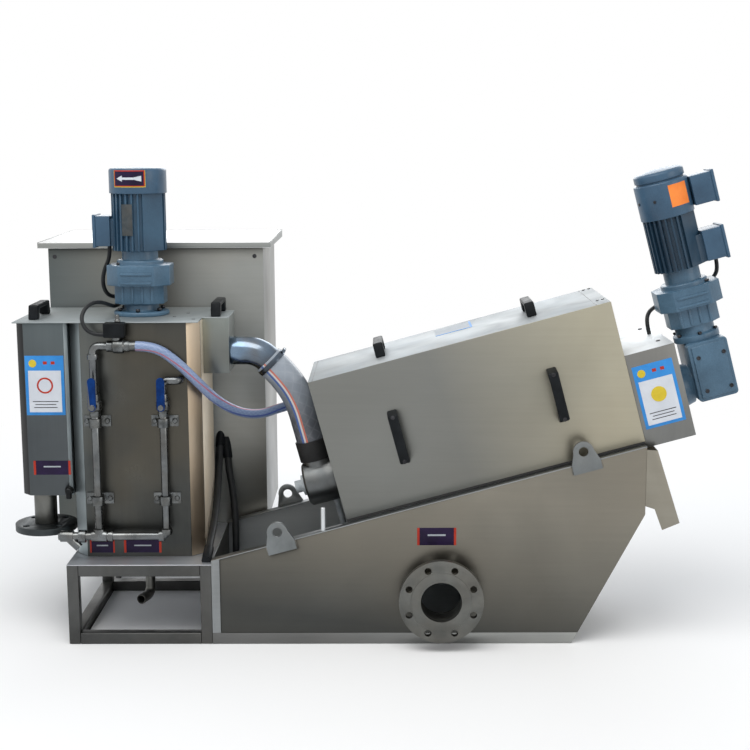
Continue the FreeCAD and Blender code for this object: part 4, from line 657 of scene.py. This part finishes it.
# Trim of the cover and the end box: a dark rubber seal along the foot, which also stands for the
# shadow in the gap under the cover as painted shade, the joints of the end caps across the top, and
# round-headed screws. A pale level rod stands in the tank beside the low end.
seal = moulded("foot_seal", (0.008, 0.008, 0.008), (0.02, 0.02, 0.02), 0.6, 0.8, cloud=40.0)
strip = slab((0.803, 0.0012, 0.006), on_cover(0.4025, COVER_FACE - 0.0004, 0.004), TILTED)
merged("cover_foot_seal", [strip], seal)
joints = [slab((0.0016, 0.338, 0.0008), on_cover(along, -0.035, COVER_TOP + 0.0002), TILTED)
          for along in (0.768, 0.012)]
merged("cover_joints", joints, dark_steel)
END_BOX_TOP = 0.239
heads = [screw_head(on_cover(along, across, COVER_TOP), 0.0042, 0.0022, TILTED)
         for along in (0.780, 0.795) for across in (-0.135, 0.120)]
heads += [screw_head(on_cover(along, across, END_BOX_TOP), 0.006, 0.0026, TILTED)
          for along, across in ((0.910, -0.125), (0.905, 0.110))]
merged("cover_screws", heads, dark_steel)
LEVEL_ROD_FOOT = (0.3095, -0.2235, 0.262)
merged("level_rod", [screw_head(LEVEL_ROD_FOOT, 0.0058, 0.106, UNTURNED, sides=24)], pale_top)

# Barrel drive and agitator drive: cast housings and finned motor frames in blue-grey enamel, paler
# on the castings than on the motors.
enamel = moulded("motor_enamel", (0.012, 0.038, 0.072), (0.034, 0.088, 0.146), 0.28, 0.46, grain=350.0, cloud=7.0,
                 bump=0.0004, coat=0.1, gloss=0.4)
cowl_enamel = moulded("cowl_enamel", (0.020, 0.054, 0.098), (0.046, 0.106, 0.176), 0.28, 0.46, grain=350.0, cloud=7.0,
                      bump=0.0003, coat=0.1, gloss=0.4)
fin_enamel = moulded("fin_enamel", (0.008, 0.024, 0.044), (0.024, 0.062, 0.104), 0.28, 0.46, grain=350.0, cloud=7.0,
                     bump=0.0004, gloss=0.35)
cast_enamel = moulded("cast_enamel", (0.038, 0.086, 0.136), (0.078, 0.154, 0.230), 0.30, 0.48, grain=220.0,
                      cloud=9.0, bump=0.0006, coat=0.1, gloss=0.4)
for part in ("drive_gearbox", "drive_gear_stage", "agitator_gearbox", "agitator_pedestal"):
    rounded_copy(part, 0.004, cast_enamel, segments=3)
for part in ("drive_fan_cover", "drive_terminal_boxes", "agitator_fan_cover", "agitator_terminal_box"):
    rounded_copy(part, 0.002, cowl_enamel, segments=2)
for part, finish in (("drive_motor", fin_enamel), ("agitator_motor", enamel)):
    rounded_copy(part, 0.0008, finish, segments=1)

# Fasteners of the two drives: cover screws of the bevel gearbox, nuts round both flanges, two screws
# of the drive's fan cover and two filler plugs.
DRIVE_ALONG = 1.026
DRIVE_ACROSS = -0.035
NUTS_ROUND = 6
DRIVE_NUT_CIRCLE = 0.0565
AGITATOR_NUT_CIRCLE = 0.061
DRIVE_COWL_RADIUS = 0.0712
AGITATOR_AXIS = Vector((-0.1845, -0.008, 0.0))
BEVEL_FACE = -0.114
nuts = [screw_head(on_cover(along, BEVEL_FACE, up), 0.0055, 0.0024, TILTED @ TO_FRONT)
        for along, up in ((1.004, 0.164), (1.072, 0.165), (1.007, 0.072), (1.072, 0.071))]
for number in range(NUTS_ROUND):
    angle = 2 * math.pi * (number + 0.5) / NUTS_ROUND
    reach = Vector((math.cos(angle), math.sin(angle), 0.0))
    drive_nut = on_cover(DRIVE_ALONG + DRIVE_NUT_CIRCLE * reach.x, DRIVE_ACROSS + DRIVE_NUT_CIRCLE * reach.y, 0.2205)
    nuts.append(screw_head(drive_nut, 0.0062, 0.007, TILTED, sides=6))
    agitator_nut = AGITATOR_AXIS + AGITATOR_NUT_CIRCLE * reach + Vector((0, 0, 0.863))
    nuts.append(screw_head(agitator_nut, 0.0068, 0.009, UNTURNED, sides=6))
for along in (0.957, 0.990):
    side = -math.sqrt(DRIVE_COWL_RADIUS ** 2 - (along - DRIVE_ALONG) ** 2)
    turn = TILTED @ Matrix.Rotation(math.atan2(along - DRIVE_ALONG, -side), 4, "Z") @ TO_FRONT
    nuts.append(screw_head(on_cover(along, DRIVE_ACROSS + side, 0.590), 0.004, 0.002, turn))
nuts.append(screw_head(on_cover(1.078, -0.070, 0.350), 0.009, 0.007, TILTED, sides=6))
nuts.append(screw_head((-0.236, -0.040, 0.9865), 0.008, 0.007, UNTURNED, sides=6))
merged("drive_fasteners", nuts, dark_steel)

# Ribs of the gear castings: upright ribs on the front of each foot block and two raised bands across
# the wide block, all cast with it.
def gear_ribs(name, centre, turn):
    """Ribs on the front of a gear unit whose foot is at centre."""
    ribs = [slab((0.006, 0.004, 0.046), centre + turn.to_3x3() @ Vector((offset, -0.0572, 0.026)), turn, 0.0015)
            for offset in (-0.040, -0.014, 0.012, 0.038)]
    bands = [slab((0.082, 0.005, 0.007), centre + turn.to_3x3() @ Vector((0, -0.0755, up)), turn, 0.002)
             for up in (0.058, 0.082)]
    merged(name, ribs + bands, cast_enamel)


gear_ribs("agitator_gear_ribs", AGITATOR_AXIS + Vector((0, 0, 0.883)), UNTURNED)
gear_ribs("drive_gear_ribs", on_cover(DRIVE_ALONG, DRIVE_ACROSS, 0.246), TILTED)

# Mixing tank, metering box and outlet box: folded sheet with cut corners under one flat lid. The
# cut corners and the tank's right flank get their own colours as painted light: a warm painted
# highlight on the tank's right corner, a pale painted reflection on its left corner and on the
# metering box's right crease, a near-black painted shade on the metering box's left corner and a
# pale painted flank. The tank's front lightens towards its left end, and the metering box and the
# outlet box towards their tops, as painted light. A small overflow elbow points down in front.
# Painted reflection: the fade lightens the tank's front towards its left end and its top.
mixing_steel = stainless("mixing_sheet", (0.046, 0.048, 0.046), (0.078, 0.080, 0.075), (0.098, 0.087, 0.066), 0.55,
                         UPRIGHT, smooth=0.26, rough=0.42, cloud=4.2,
                         fade=((-1.0, 0.0, 0.2), 0.36, 0.46, (1.6, 1.7, 1.8)))
# Painted highlight: a warm, pale copy of the sheet for the tank's right cut corner.
corner_highlight_steel = stainless("corner_highlight", (0.41, 0.325, 0.235), (0.55, 0.455, 0.345), (0.595, 0.455, 0.315), 0.5, UPRIGHT,
                       smooth=0.26, rough=0.42, cloud=4.0)
# Painted light: a much paler copy of the sheet for the tank's right flank, which the outlet box shades.
flank_light_steel = stainless("tank_flank", (0.74, 0.65, 0.53), (0.95, 0.86, 0.71), (0.93, 0.77, 0.55), 0.5, UPRIGHT,
                        smooth=0.5, rough=0.62, cloud=4.0)
# Painted reflection: a pale copy of the sheet for the tank's left cut corner and the metering box's right crease.
reflection_corner_steel = stainless("reflection_corner", (0.27, 0.31, 0.325), (0.41, 0.46, 0.48), (0.38, 0.39, 0.39), 0.2, UPRIGHT,
                         smooth=0.5, rough=0.64, cloud=4.0)


def faces_right(face):
    """True for faces that look towards the discharge end."""
    return face.normal.x > 0.9


def cut_corner(face, way):
    """True for a cut front corner, on the right with way 1 and on the left with way -1."""
    return way * face.normal.x > 0.5 and face.normal.y < -0.5 and face.area > 0.001


tank = rounded_copy("mixing_tank", 0.002, mixing_steel)
paint_faces(tank, corner_highlight_steel, lambda face: cut_corner(face, 1))
paint_faces(tank, flank_light_steel, faces_right)
paint_faces(tank, reflection_corner_steel, lambda face: cut_corner(face, -1))
# Painted light: the fade lightens the metering box towards its top.
meter_steel = stainless("metering_sheet", (0.064, 0.072, 0.077), (0.092, 0.103, 0.110), (0.105, 0.108, 0.106), 0.3,
                        UPRIGHT, smooth=0.26, rough=0.42, cloud=2.8,
                        fade=((0.0, 0.0, 1.0), 0.55, 0.85, (1.48, 1.55, 1.52)))
# Painted shade: a near-black copy of the sheet for the metering box's left cut corner; the overflow elbow uses it too.
shaded_steel = stainless("shaded_corner", (0.012, 0.013, 0.014), (0.026, 0.027, 0.028), (0.03, 0.03, 0.028), 0.3,
                         UPRIGHT, smooth=0.3, rough=0.46, cloud=4.0)
metering = rounded_copy("metering_box", 0.002, meter_steel)
paint_faces(metering, shaded_steel, lambda face: cut_corner(face, -1))
paint_faces(metering, reflection_corner_steel, lambda face: face.normal.x > 0.5 and face.normal.y < -0.3)
lid_steel = stainless("lid_sheet", (0.28, 0.31, 0.32), (0.41, 0.45, 0.46), (0.38, 0.38, 0.365), 0.3, ACROSS,
                      smooth=0.5, rough=0.64, cloud=5.0)
rounded_copy("tank_lid", 0.001, lid_steel)
# Painted light: the fade lightens the outlet box towards its top.
outlet_steel = stainless("outlet_sheet", (0.115, 0.128, 0.126), (0.175, 0.194, 0.190), (0.19, 0.185, 0.165), 0.35,
                         UPRIGHT, smooth=0.26, rough=0.42, cloud=5.0,
                         fade=((0.0, 0.0, 1.0), 0.76, 0.85, (1.55, 1.55, 1.5)))
rounded_copy("outlet_box", 0.001, outlet_steel)
for part in ("inlet_downpipe", "tank_drain"):
    rounded_copy(part, 0.0012, flange_steel)
inlet_steel = stainless("inlet_plate_steel", (0.036, 0.043, 0.046), (0.066, 0.077, 0.082), (0.065, 0.066, 0.062), 0.3,
                        EVEN, smooth=0.4, rough=0.55, cloud=14.0)
rounded_copy("inlet_flange", 0.0012, inlet_steel)
LID_TOP = 0.8509
# Painted shade: three holes in the lid are drawn as thin dark discs.
hole_shades = [screw_head((x, y, LID_TOP), 0.005, 0.0006, UNTURNED)
         for x, y in ((-0.088, -0.065), (-0.062, 0.010), (-0.030, -0.120))]
merged("lid_hole_shades", hole_shades, dark_steel)
OVERFLOW_X = -0.365
OVERFLOW_Z = 0.400
overflow = [screw_head((OVERFLOW_X, -0.150, OVERFLOW_Z), 0.009, 0.030, TO_FRONT),
            screw_head((OVERFLOW_X, -0.158, OVERFLOW_Z), 0.013, 0.010, TO_FRONT, sides=6),
            screw_head((OVERFLOW_X, -0.172, OVERFLOW_Z - 0.020), 0.008, 0.026, UNTURNED)]
merged("overflow_elbow", overflow, shaded_steel)

# Feed line: polished elbow, clear PVC hose with thin stripes in its wall, steel clamp and black
# rubber cuff. The elbow and the clamp carry a painted bluish reflection, darkening to a painted warm
# brown reflection on their low side. The hose follows its own route, in metres, between the elbow
# and the chamber.
# Painted reflection: bluish steel colour, which the fade darkens to brown towards the low side.
polished = stainless("polished_pipe", (0.110, 0.155, 0.215), (0.235, 0.330, 0.450), (0.165, 0.150, 0.130), 0.6, EVEN,
                     smooth=0.12, rough=0.26, cloud=11.0, fade=((0.25, 0.0, -1.0), -0.735, -0.66, (0.25, 0.20, 0.16)))
for part in ("feed_elbow", "hose_clamp"):
    rounded_copy(part, 0.0004, polished)
FEED_ROUTE = [(0.1571, -0.035, 0.7301), (0.2056, -0.035, 0.6816), (0.2444, -0.035, 0.6145),
              (0.2644, -0.035, 0.5397), (0.2863, -0.035, 0.4581)]
FEED_HOSE_RADIUS = 0.042
feed_hose = swept_tube("feed_hose_clear", FEED_ROUTE, FEED_HOSE_RADIUS, 48)[0]
feed_hose.data.materials.append(striped_hose("clear_pvc", (0.22, 0.25, 0.29), (0.34, 0.38, 0.43),
                                             ((0.538, 0.010, (0.55, 0.13, 0.08)), (0.558, 0.010, (0.62, 0.60, 0.58)),
                                              (0.580, 0.013, (0.04, 0.10, 0.32))), 30.0, 1.0, 0.16, web=0.03,
                                             fade=(0.70, 0.14, (0.28, 0.27, 0.28))))
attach(feed_hose, "machine")
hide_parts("feed_hose")
rubber = moulded("black_rubber", (0.006, 0.006, 0.006), (0.02, 0.02, 0.021), 0.5, 0.7, cloud=20.0, gloss=0.3)
rounded_copy("hose_cuff", 0.001, rubber)

# Wash line: drawn DN15 pipe with cast threaded fittings, two ball valves and a solenoid valve. Four
# clips bolted to the tank's front hold the risers.
pipe_steel = stainless("wash_pipe", (0.088, 0.093, 0.095), (0.185, 0.196, 0.202), (0.152, 0.142, 0.124), 0.3, EVEN,
                       smooth=0.14, rough=0.3, cloud=22.0)
cast_steel = stainless("cast_fitting", (0.068, 0.073, 0.075), (0.17, 0.181, 0.185), (0.145, 0.135, 0.113), 0.3,
                       (120.0, 120.0, 120.0), smooth=0.2, rough=0.4, cloud=45.0, bump=0.0003)
for part in ("wash_header", "wash_risers"):
    rounded_copy(part, 0.0006, pipe_steel)
for part in ("wash_valves", "pipe_clips", "solenoid_body"):
    rounded_copy(part, 0.0012, cast_steel)
rounded_copy("solenoid_coil", 0.003, handle_plastic, segments=3)
CLIP_FACE = -0.162
CLIP_HALF_WIDTH = 0.027
clip_nuts = [screw_head((riser_x + side, CLIP_FACE, clip_z), 0.0075, 0.007, TO_FRONT, sides=6)
             for riser_x in (-0.284, -0.106) for clip_z in (0.379, 0.588)
             for side in (-CLIP_HALF_WIDTH, CLIP_HALF_WIDTH)]
merged("clip_nuts", clip_nuts, cast_steel)
COIL_X = -0.217
COIL_Y = -0.188
union = [screw_head((COIL_X, COIL_Y, 0.850), 0.0085, 0.010, UNTURNED, sides=6),
         screw_head((COIL_X, COIL_Y, 0.858), 0.0055, 0.014, UNTURNED)]
merged("coil_nut", union, pipe_steel)

# Valve levers: a bright steel strap under a blue dipped sleeve. Each turns with its valve's stem, and
# the bare hub shows below the sleeve.
LEVER_HUB = 0.024
lever_blue = moulded("lever_sleeve", (0.001, 0.016, 0.085), (0.003, 0.036, 0.17), 0.34, 0.5, cloud=60.0, gloss=0.1)
for side in ("left", "right"):
    lever = rounded_copy("lever_" + side, 0.0018, lever_blue, body="lever_" + side, segments=3)
    hub_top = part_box("lever_" + side)[0].z + LEVER_HUB
    paint_faces(lever, pipe_steel, lambda face: face.center.z < hub_top)

# Control cabinet: folded satin sheet on the frame, with painted shade that darkens it towards its left
# end and on the sides that face the discharge end. It stands under a rain roof that is hemmed along
# three edges, whose top is painted bright as a painted highlight and whose edges are painted darker
# as painted shade. Two cable holes in the front are drawn as dark discs of painted shade.
# Painted shade: the fade darkens the cabinet's front towards its left end.
cabinet_steel = stainless("cabinet_sheet", (0.225, 0.232, 0.222), (0.285, 0.294, 0.281), (0.30, 0.27, 0.22), 0.5,
                          ACROSS, smooth=0.36, rough=0.52, cloud=2.2,
                          fade=((-1.0, 0.0, 0.0), -0.02, 0.48, (0.38, 0.43, 0.46)))
# Painted shade: a slightly darker copy of the sheet for the sides that face the discharge end.
side_steel = stainless("cabinet_side", (0.20, 0.205, 0.20), (0.27, 0.275, 0.27), (0.26, 0.245, 0.22), 0.3, UPRIGHT,
                       smooth=0.34, rough=0.5, cloud=3.0)
for part in ("cabinet_body", "cabinet_door"):
    paint_faces(rounded_copy(part, 0.0015, cabinet_steel), side_steel, faces_right)
# Painted highlight on the roof's sheet, and painted shade on its edge faces.
roof_steel = stainless("roof_sheet", (0.68, 0.69, 0.695), (0.83, 0.84, 0.845), (0.79, 0.78, 0.76), 0.2, ACROSS)
lip_shade_steel = stainless("roof_lip", (0.24, 0.255, 0.25), (0.33, 0.345, 0.34), (0.31, 0.30, 0.27), 0.3, ACROSS)
paint_faces(rounded_copy("cabinet_roof", 0.0012, roof_steel), lip_shade_steel, lambda face: abs(face.normal.z) < 0.3)
hem_steel = stainless("roof_hem", (0.10, 0.105, 0.104), (0.17, 0.177, 0.174), (0.16, 0.155, 0.14), 0.2, ACROSS)
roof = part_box("cabinet_roof")
roof_width, roof_depth = (roof[1] - roof[0]).xy
ROOF_FRONT_TOP = 1.033
HEM_WIDTH = 0.004
HEM_HEIGHT = 0.0012
fall = Matrix.Rotation(math.atan2(roof[1].z - ROOF_FRONT_TOP, roof_depth), 4, "X")
middle = Vector(((roof[0].x + roof[1].x) / 2, (roof[0].y + roof[1].y) / 2, (ROOF_FRONT_TOP + roof[1].z) / 2))
hems = [slab((HEM_WIDTH, roof_depth, HEM_HEIGHT), Vector((x, middle.y, middle.z)), fall, 0.0004)
        for x in (roof[0].x + HEM_WIDTH / 2, roof[1].x - HEM_WIDTH / 2)]
back = Vector((middle.x, roof[1].y - HEM_WIDTH / 2, roof[1].z))
hems.append(slab((roof_width, HEM_WIDTH, HEM_HEIGHT), back, fall, 0.0004))
merged("roof_hems", hems, hem_steel)
rounded_copy("cable_glands", 0.001, handle_plastic)
CABINET_FACE = 0.175
# Painted shade: the two cable holes are drawn as thin dark discs.
hole_shades = [screw_head((x, CABINET_FACE, 0.992), 0.006, 0.0006, TO_FRONT) for x in (-0.458, 0.106)]
merged("cabinet_hole_shades", hole_shades, dark_steel)

# Fittings of the cabinet door at the back: two lever locks and three hinges, black moulded and
# screwed on from inside.
TO_BACK = Matrix.Rotation(math.radians(-90), 4, "X")
CABINET_BACK = 0.578
LOCK_X = -0.440
HINGE_X = 0.117
fittings = []
for height in (0.42, 0.80):
    fittings.append(screw_head((LOCK_X, CABINET_BACK, height), 0.016, 0.005, TO_BACK, sides=32))
    fittings.append(slab((0.012, 0.008, 0.046), (LOCK_X, CABINET_BACK + 0.009, height), rounding=0.002))
for height in (0.34, 0.61, 0.88):
    fittings.append(slab((0.018, 0.006, 0.060), (HINGE_X, CABINET_BACK + 0.002, height), rounding=0.002))
merged("door_fittings", fittings, handle_plastic)

# Plates: blue-framed white ones on the metering box and the end box, dark purple ones with red ends,
# a plain arrow plate, a bare orange one and a bare nameplate. None carries words.
sign_blue = moulded("sign_blue", (0.020, 0.19, 0.52), (0.04, 0.26, 0.64), 0.4, 0.55, cloud=12.0, gloss=0.3)
sign_white = moulded("sign_white", (0.52, 0.55, 0.60), (0.64, 0.67, 0.72), 0.4, 0.55, cloud=12.0, gloss=0.3)
sign_purple = moulded("sign_purple", (0.008, 0.003, 0.020), (0.020, 0.009, 0.045), 0.4, 0.55, cloud=20.0, gloss=0.2)
sign_red = moulded("sign_red", (0.34, 0.022, 0.012), (0.46, 0.045, 0.022), 0.4, 0.55, cloud=20.0, gloss=0.2)
sign_yellow = moulded("sign_yellow", (0.56, 0.42, 0.03), (0.70, 0.54, 0.05), 0.4, 0.55, cloud=20.0, gloss=0.2)
sign_orange = moulded("sign_orange", (0.80, 0.19, 0.030), (0.92, 0.27, 0.055), 0.4, 0.55, cloud=20.0, gloss=0.2)
label_grey = moulded("label_grey", (0.30, 0.33, 0.36), (0.40, 0.43, 0.46), 0.5, 0.65, cloud=60.0, gloss=0.2)
TANK_FACE = -0.158
SIGN_STEP = 0.0004
SIGN_ARRIS = 0.0003


def framed_plate(name, centre, turn, width, height, disc):
    """White plate in a blue frame, with a blue head band, a yellow spot, a plain mark and grey rules.
    The mark is a yellow disc, or else a red ring."""
    def tile(wide, tall, x, z, layer):
        """Thin block, with its size and place as shares of the plate and its height in steps."""
        place = centre + turn.to_3x3() @ Vector((x * width, -layer * SIGN_STEP, z * height))
        return slab((wide * width, SIGN_STEP, tall * height), place, turn)

    def spot(radius, x, z, layer, height_in_steps=1.0, sides=40):
        """Thin disc, given in the same way."""
        place = centre + turn.to_3x3() @ Vector((x * width, -layer * SIGN_STEP, z * height))
        return screw_head(place, radius * width, height_in_steps * SIGN_STEP, turn @ TO_FRONT, sides=sides)

    merged(name + "_frame", [slab((width, 2 * SIGN_STEP, height), centre, turn, SIGN_ARRIS)], sign_blue)
    merged(name + "_field", [tile(0.84, 0.70, 0, -0.10, 1.4)], sign_white)
    merged(name + "_spot", [spot(0.10, -0.30, 0.37, 1, sides=24)], sign_yellow)
    merged(name + "_marks", [tile(0.10, 0.05, x, 0.38, 1) for x in (0.02, 0.22)], sign_red)
    rules = [tile(length, 0.012, 0, z, 2) for length, z in ((0.66, -0.27), (0.54, -0.32), (0.60, -0.37))]
    merged(name + "_rules", rules, dark_steel)
    if disc:
        merged(name + "_disc", [spot(0.19, 0, 0, 2)], sign_yellow)
    else:
        merged(name + "_ring", [spot(0.21, 0, 0, 2)], sign_red)
        merged(name + "_ring_field", [spot(0.165, 0, 0, 2, height_in_steps=1.5)], sign_white)


framed_plate("metering_plate", Vector((-0.4185, TANK_FACE - SIGN_STEP, 0.682)), UNTURNED, 0.102, 0.158, disc=False)
framed_plate("end_box_plate", on_cover(0.8675, COVER_FACE - SIGN_STEP, 0.120), TILTED, 0.106, 0.168, disc=True)


def purple_plate(name, centre, width, height):
    """Dark plate with a thin red end at either side and a plain grey bar in place of words."""
    merged(name, [slab((width, 2 * SIGN_STEP, height), centre, rounding=SIGN_ARRIS)], sign_purple)
    ends = [slab((width * 0.06, SIGN_STEP, height), centre + Vector((side * width * 0.47, -1.4 * SIGN_STEP, 0)))
            for side in (-1, 1)]
    merged(name + "_ends", ends, sign_red)
    bar = slab((width * 0.46, SIGN_STEP, height * 0.10), centre + Vector((0, -1.4 * SIGN_STEP, height * 0.08)))
    merged(name + "_bar", [bar], label_grey)


for name, x, y, z, width, height in (("inlet_plate", -0.409, TANK_FACE, 0.461, 0.098, 0.038),
                                     ("strainer_plate", -0.284, TANK_FACE, 0.245, 0.066, 0.034),
                                     ("drain_plate", -0.176, TANK_FACE, 0.245, 0.100, 0.034),
                                     ("outlet_plate", 0.6060, PAN_FACE, 0.292, 0.102, 0.047)):
    purple_plate(name, Vector((x, y - SIGN_STEP, z)), width, height)


PATCH_STEPS = 16
PATCH_THICKNESS = 0.0002


def curved_patch(name, foot, turn, radius, angles, heights, finish):
    """Thin label bent round a fan cover. Angles are from the front towards the right, in degrees, and
    heights are the lower and upper edge where it begins and where it ends."""
    corners, faces = [], []
    for index in range(PATCH_STEPS + 1):
        share = index / PATCH_STEPS
        angle = math.radians(angles[0] + (angles[1] - angles[0]) * share)
        for first, last in ((heights[0], heights[2]), (heights[1], heights[3])):
            point = Vector((radius * math.sin(angle), -radius * math.cos(angle), first + (last - first) * share))
            corners.append(tuple(foot + turn.to_3x3() @ point))
    for index in range(PATCH_STEPS):
        faces.append((2 * index, 2 * index + 2, 2 * index + 3, 2 * index + 1))
    mesh = bpy.data.meshes.new(name)
    mesh.from_pydata(corners, [], faces)
    piece = placed(name, mesh)
    pick(piece)
    wall = piece.modifiers.new("thickness", "SOLIDIFY")
    wall.thickness = PATCH_THICKNESS
    wall.offset = -1.0
    bpy.ops.object.modifier_apply(modifier=wall.name)
    merged(name, [piece], finish)


AGITATOR_COWL_RADIUS = 0.0763
for name, step, angles, low, high, finish in (("arrow_plate_rim", 0.0, (-43, 25), 1.1935, 1.2375, sign_yellow),
                                              ("arrow_plate_red", 0.0003, (-42, 24), 1.1955, 1.2375, sign_red),
                                              ("arrow_plate", 0.0006, (-39.5, 21.5), 1.1980, 1.2345, sign_purple)):
    curved_patch(name, AGITATOR_AXIS, UNTURNED, AGITATOR_COWL_RADIUS + step, angles, (low, high, low, high), finish)
for name, angles, heights in (("arrow_shaft", (-22, 10), (1.2130, 1.2190, 1.2130, 1.2190)),
                              ("arrow_head", (-34, -22), (1.2155, 1.2165, 1.2080, 1.2240)),
                              ("arrow_tail", (2, 17), (1.2130, 1.2190, 1.2085, 1.2235))):
    curved_patch(name, AGITATOR_AXIS, UNTURNED, AGITATOR_COWL_RADIUS + 0.0009, angles, heights, sign_white)
curved_patch("orange_label", on_cover(DRIVE_ALONG, DRIVE_ACROSS, 0.0), TILTED, DRIVE_COWL_RADIUS + 0.0001, (3, 49),
             (0.566, 0.624, 0.566, 0.624), sign_orange)
plate_steel = stainless("nameplate_metal", (0.045, 0.058, 0.066), (0.095, 0.105, 0.11), (0.10, 0.09, 0.075), 0.3, EVEN,
                        smooth=0.3, rough=0.46, cloud=40.0)
name_turn = Matrix.Rotation(math.radians(-15), 4, "Z")
name_place = AGITATOR_AXIS + name_turn.to_3x3() @ Vector((0, -0.0728, 1.108))
nameplate = slab((0.030, 0.0012, 0.082), name_place, name_turn, SIGN_ARRIS)
merged("motor_nameplate", [nameplate], plate_steel)
label = slab((0.100, 0.110, 0.0004), on_cover(0.400, 0.055, COVER_TOP + 0.0003), TILTED)
merged("cover_label_field", [label], label_grey)
brackets = [slab((0.006, 0.110, 0.0005), on_cover(0.450, 0.055, COVER_TOP + 0.0004), TILTED),
            slab((0.100, 0.008, 0.0005), on_cover(0.400, 0.000, COVER_TOP + 0.0004), TILTED)]
merged("cover_label_bracket", brackets, sign_blue)
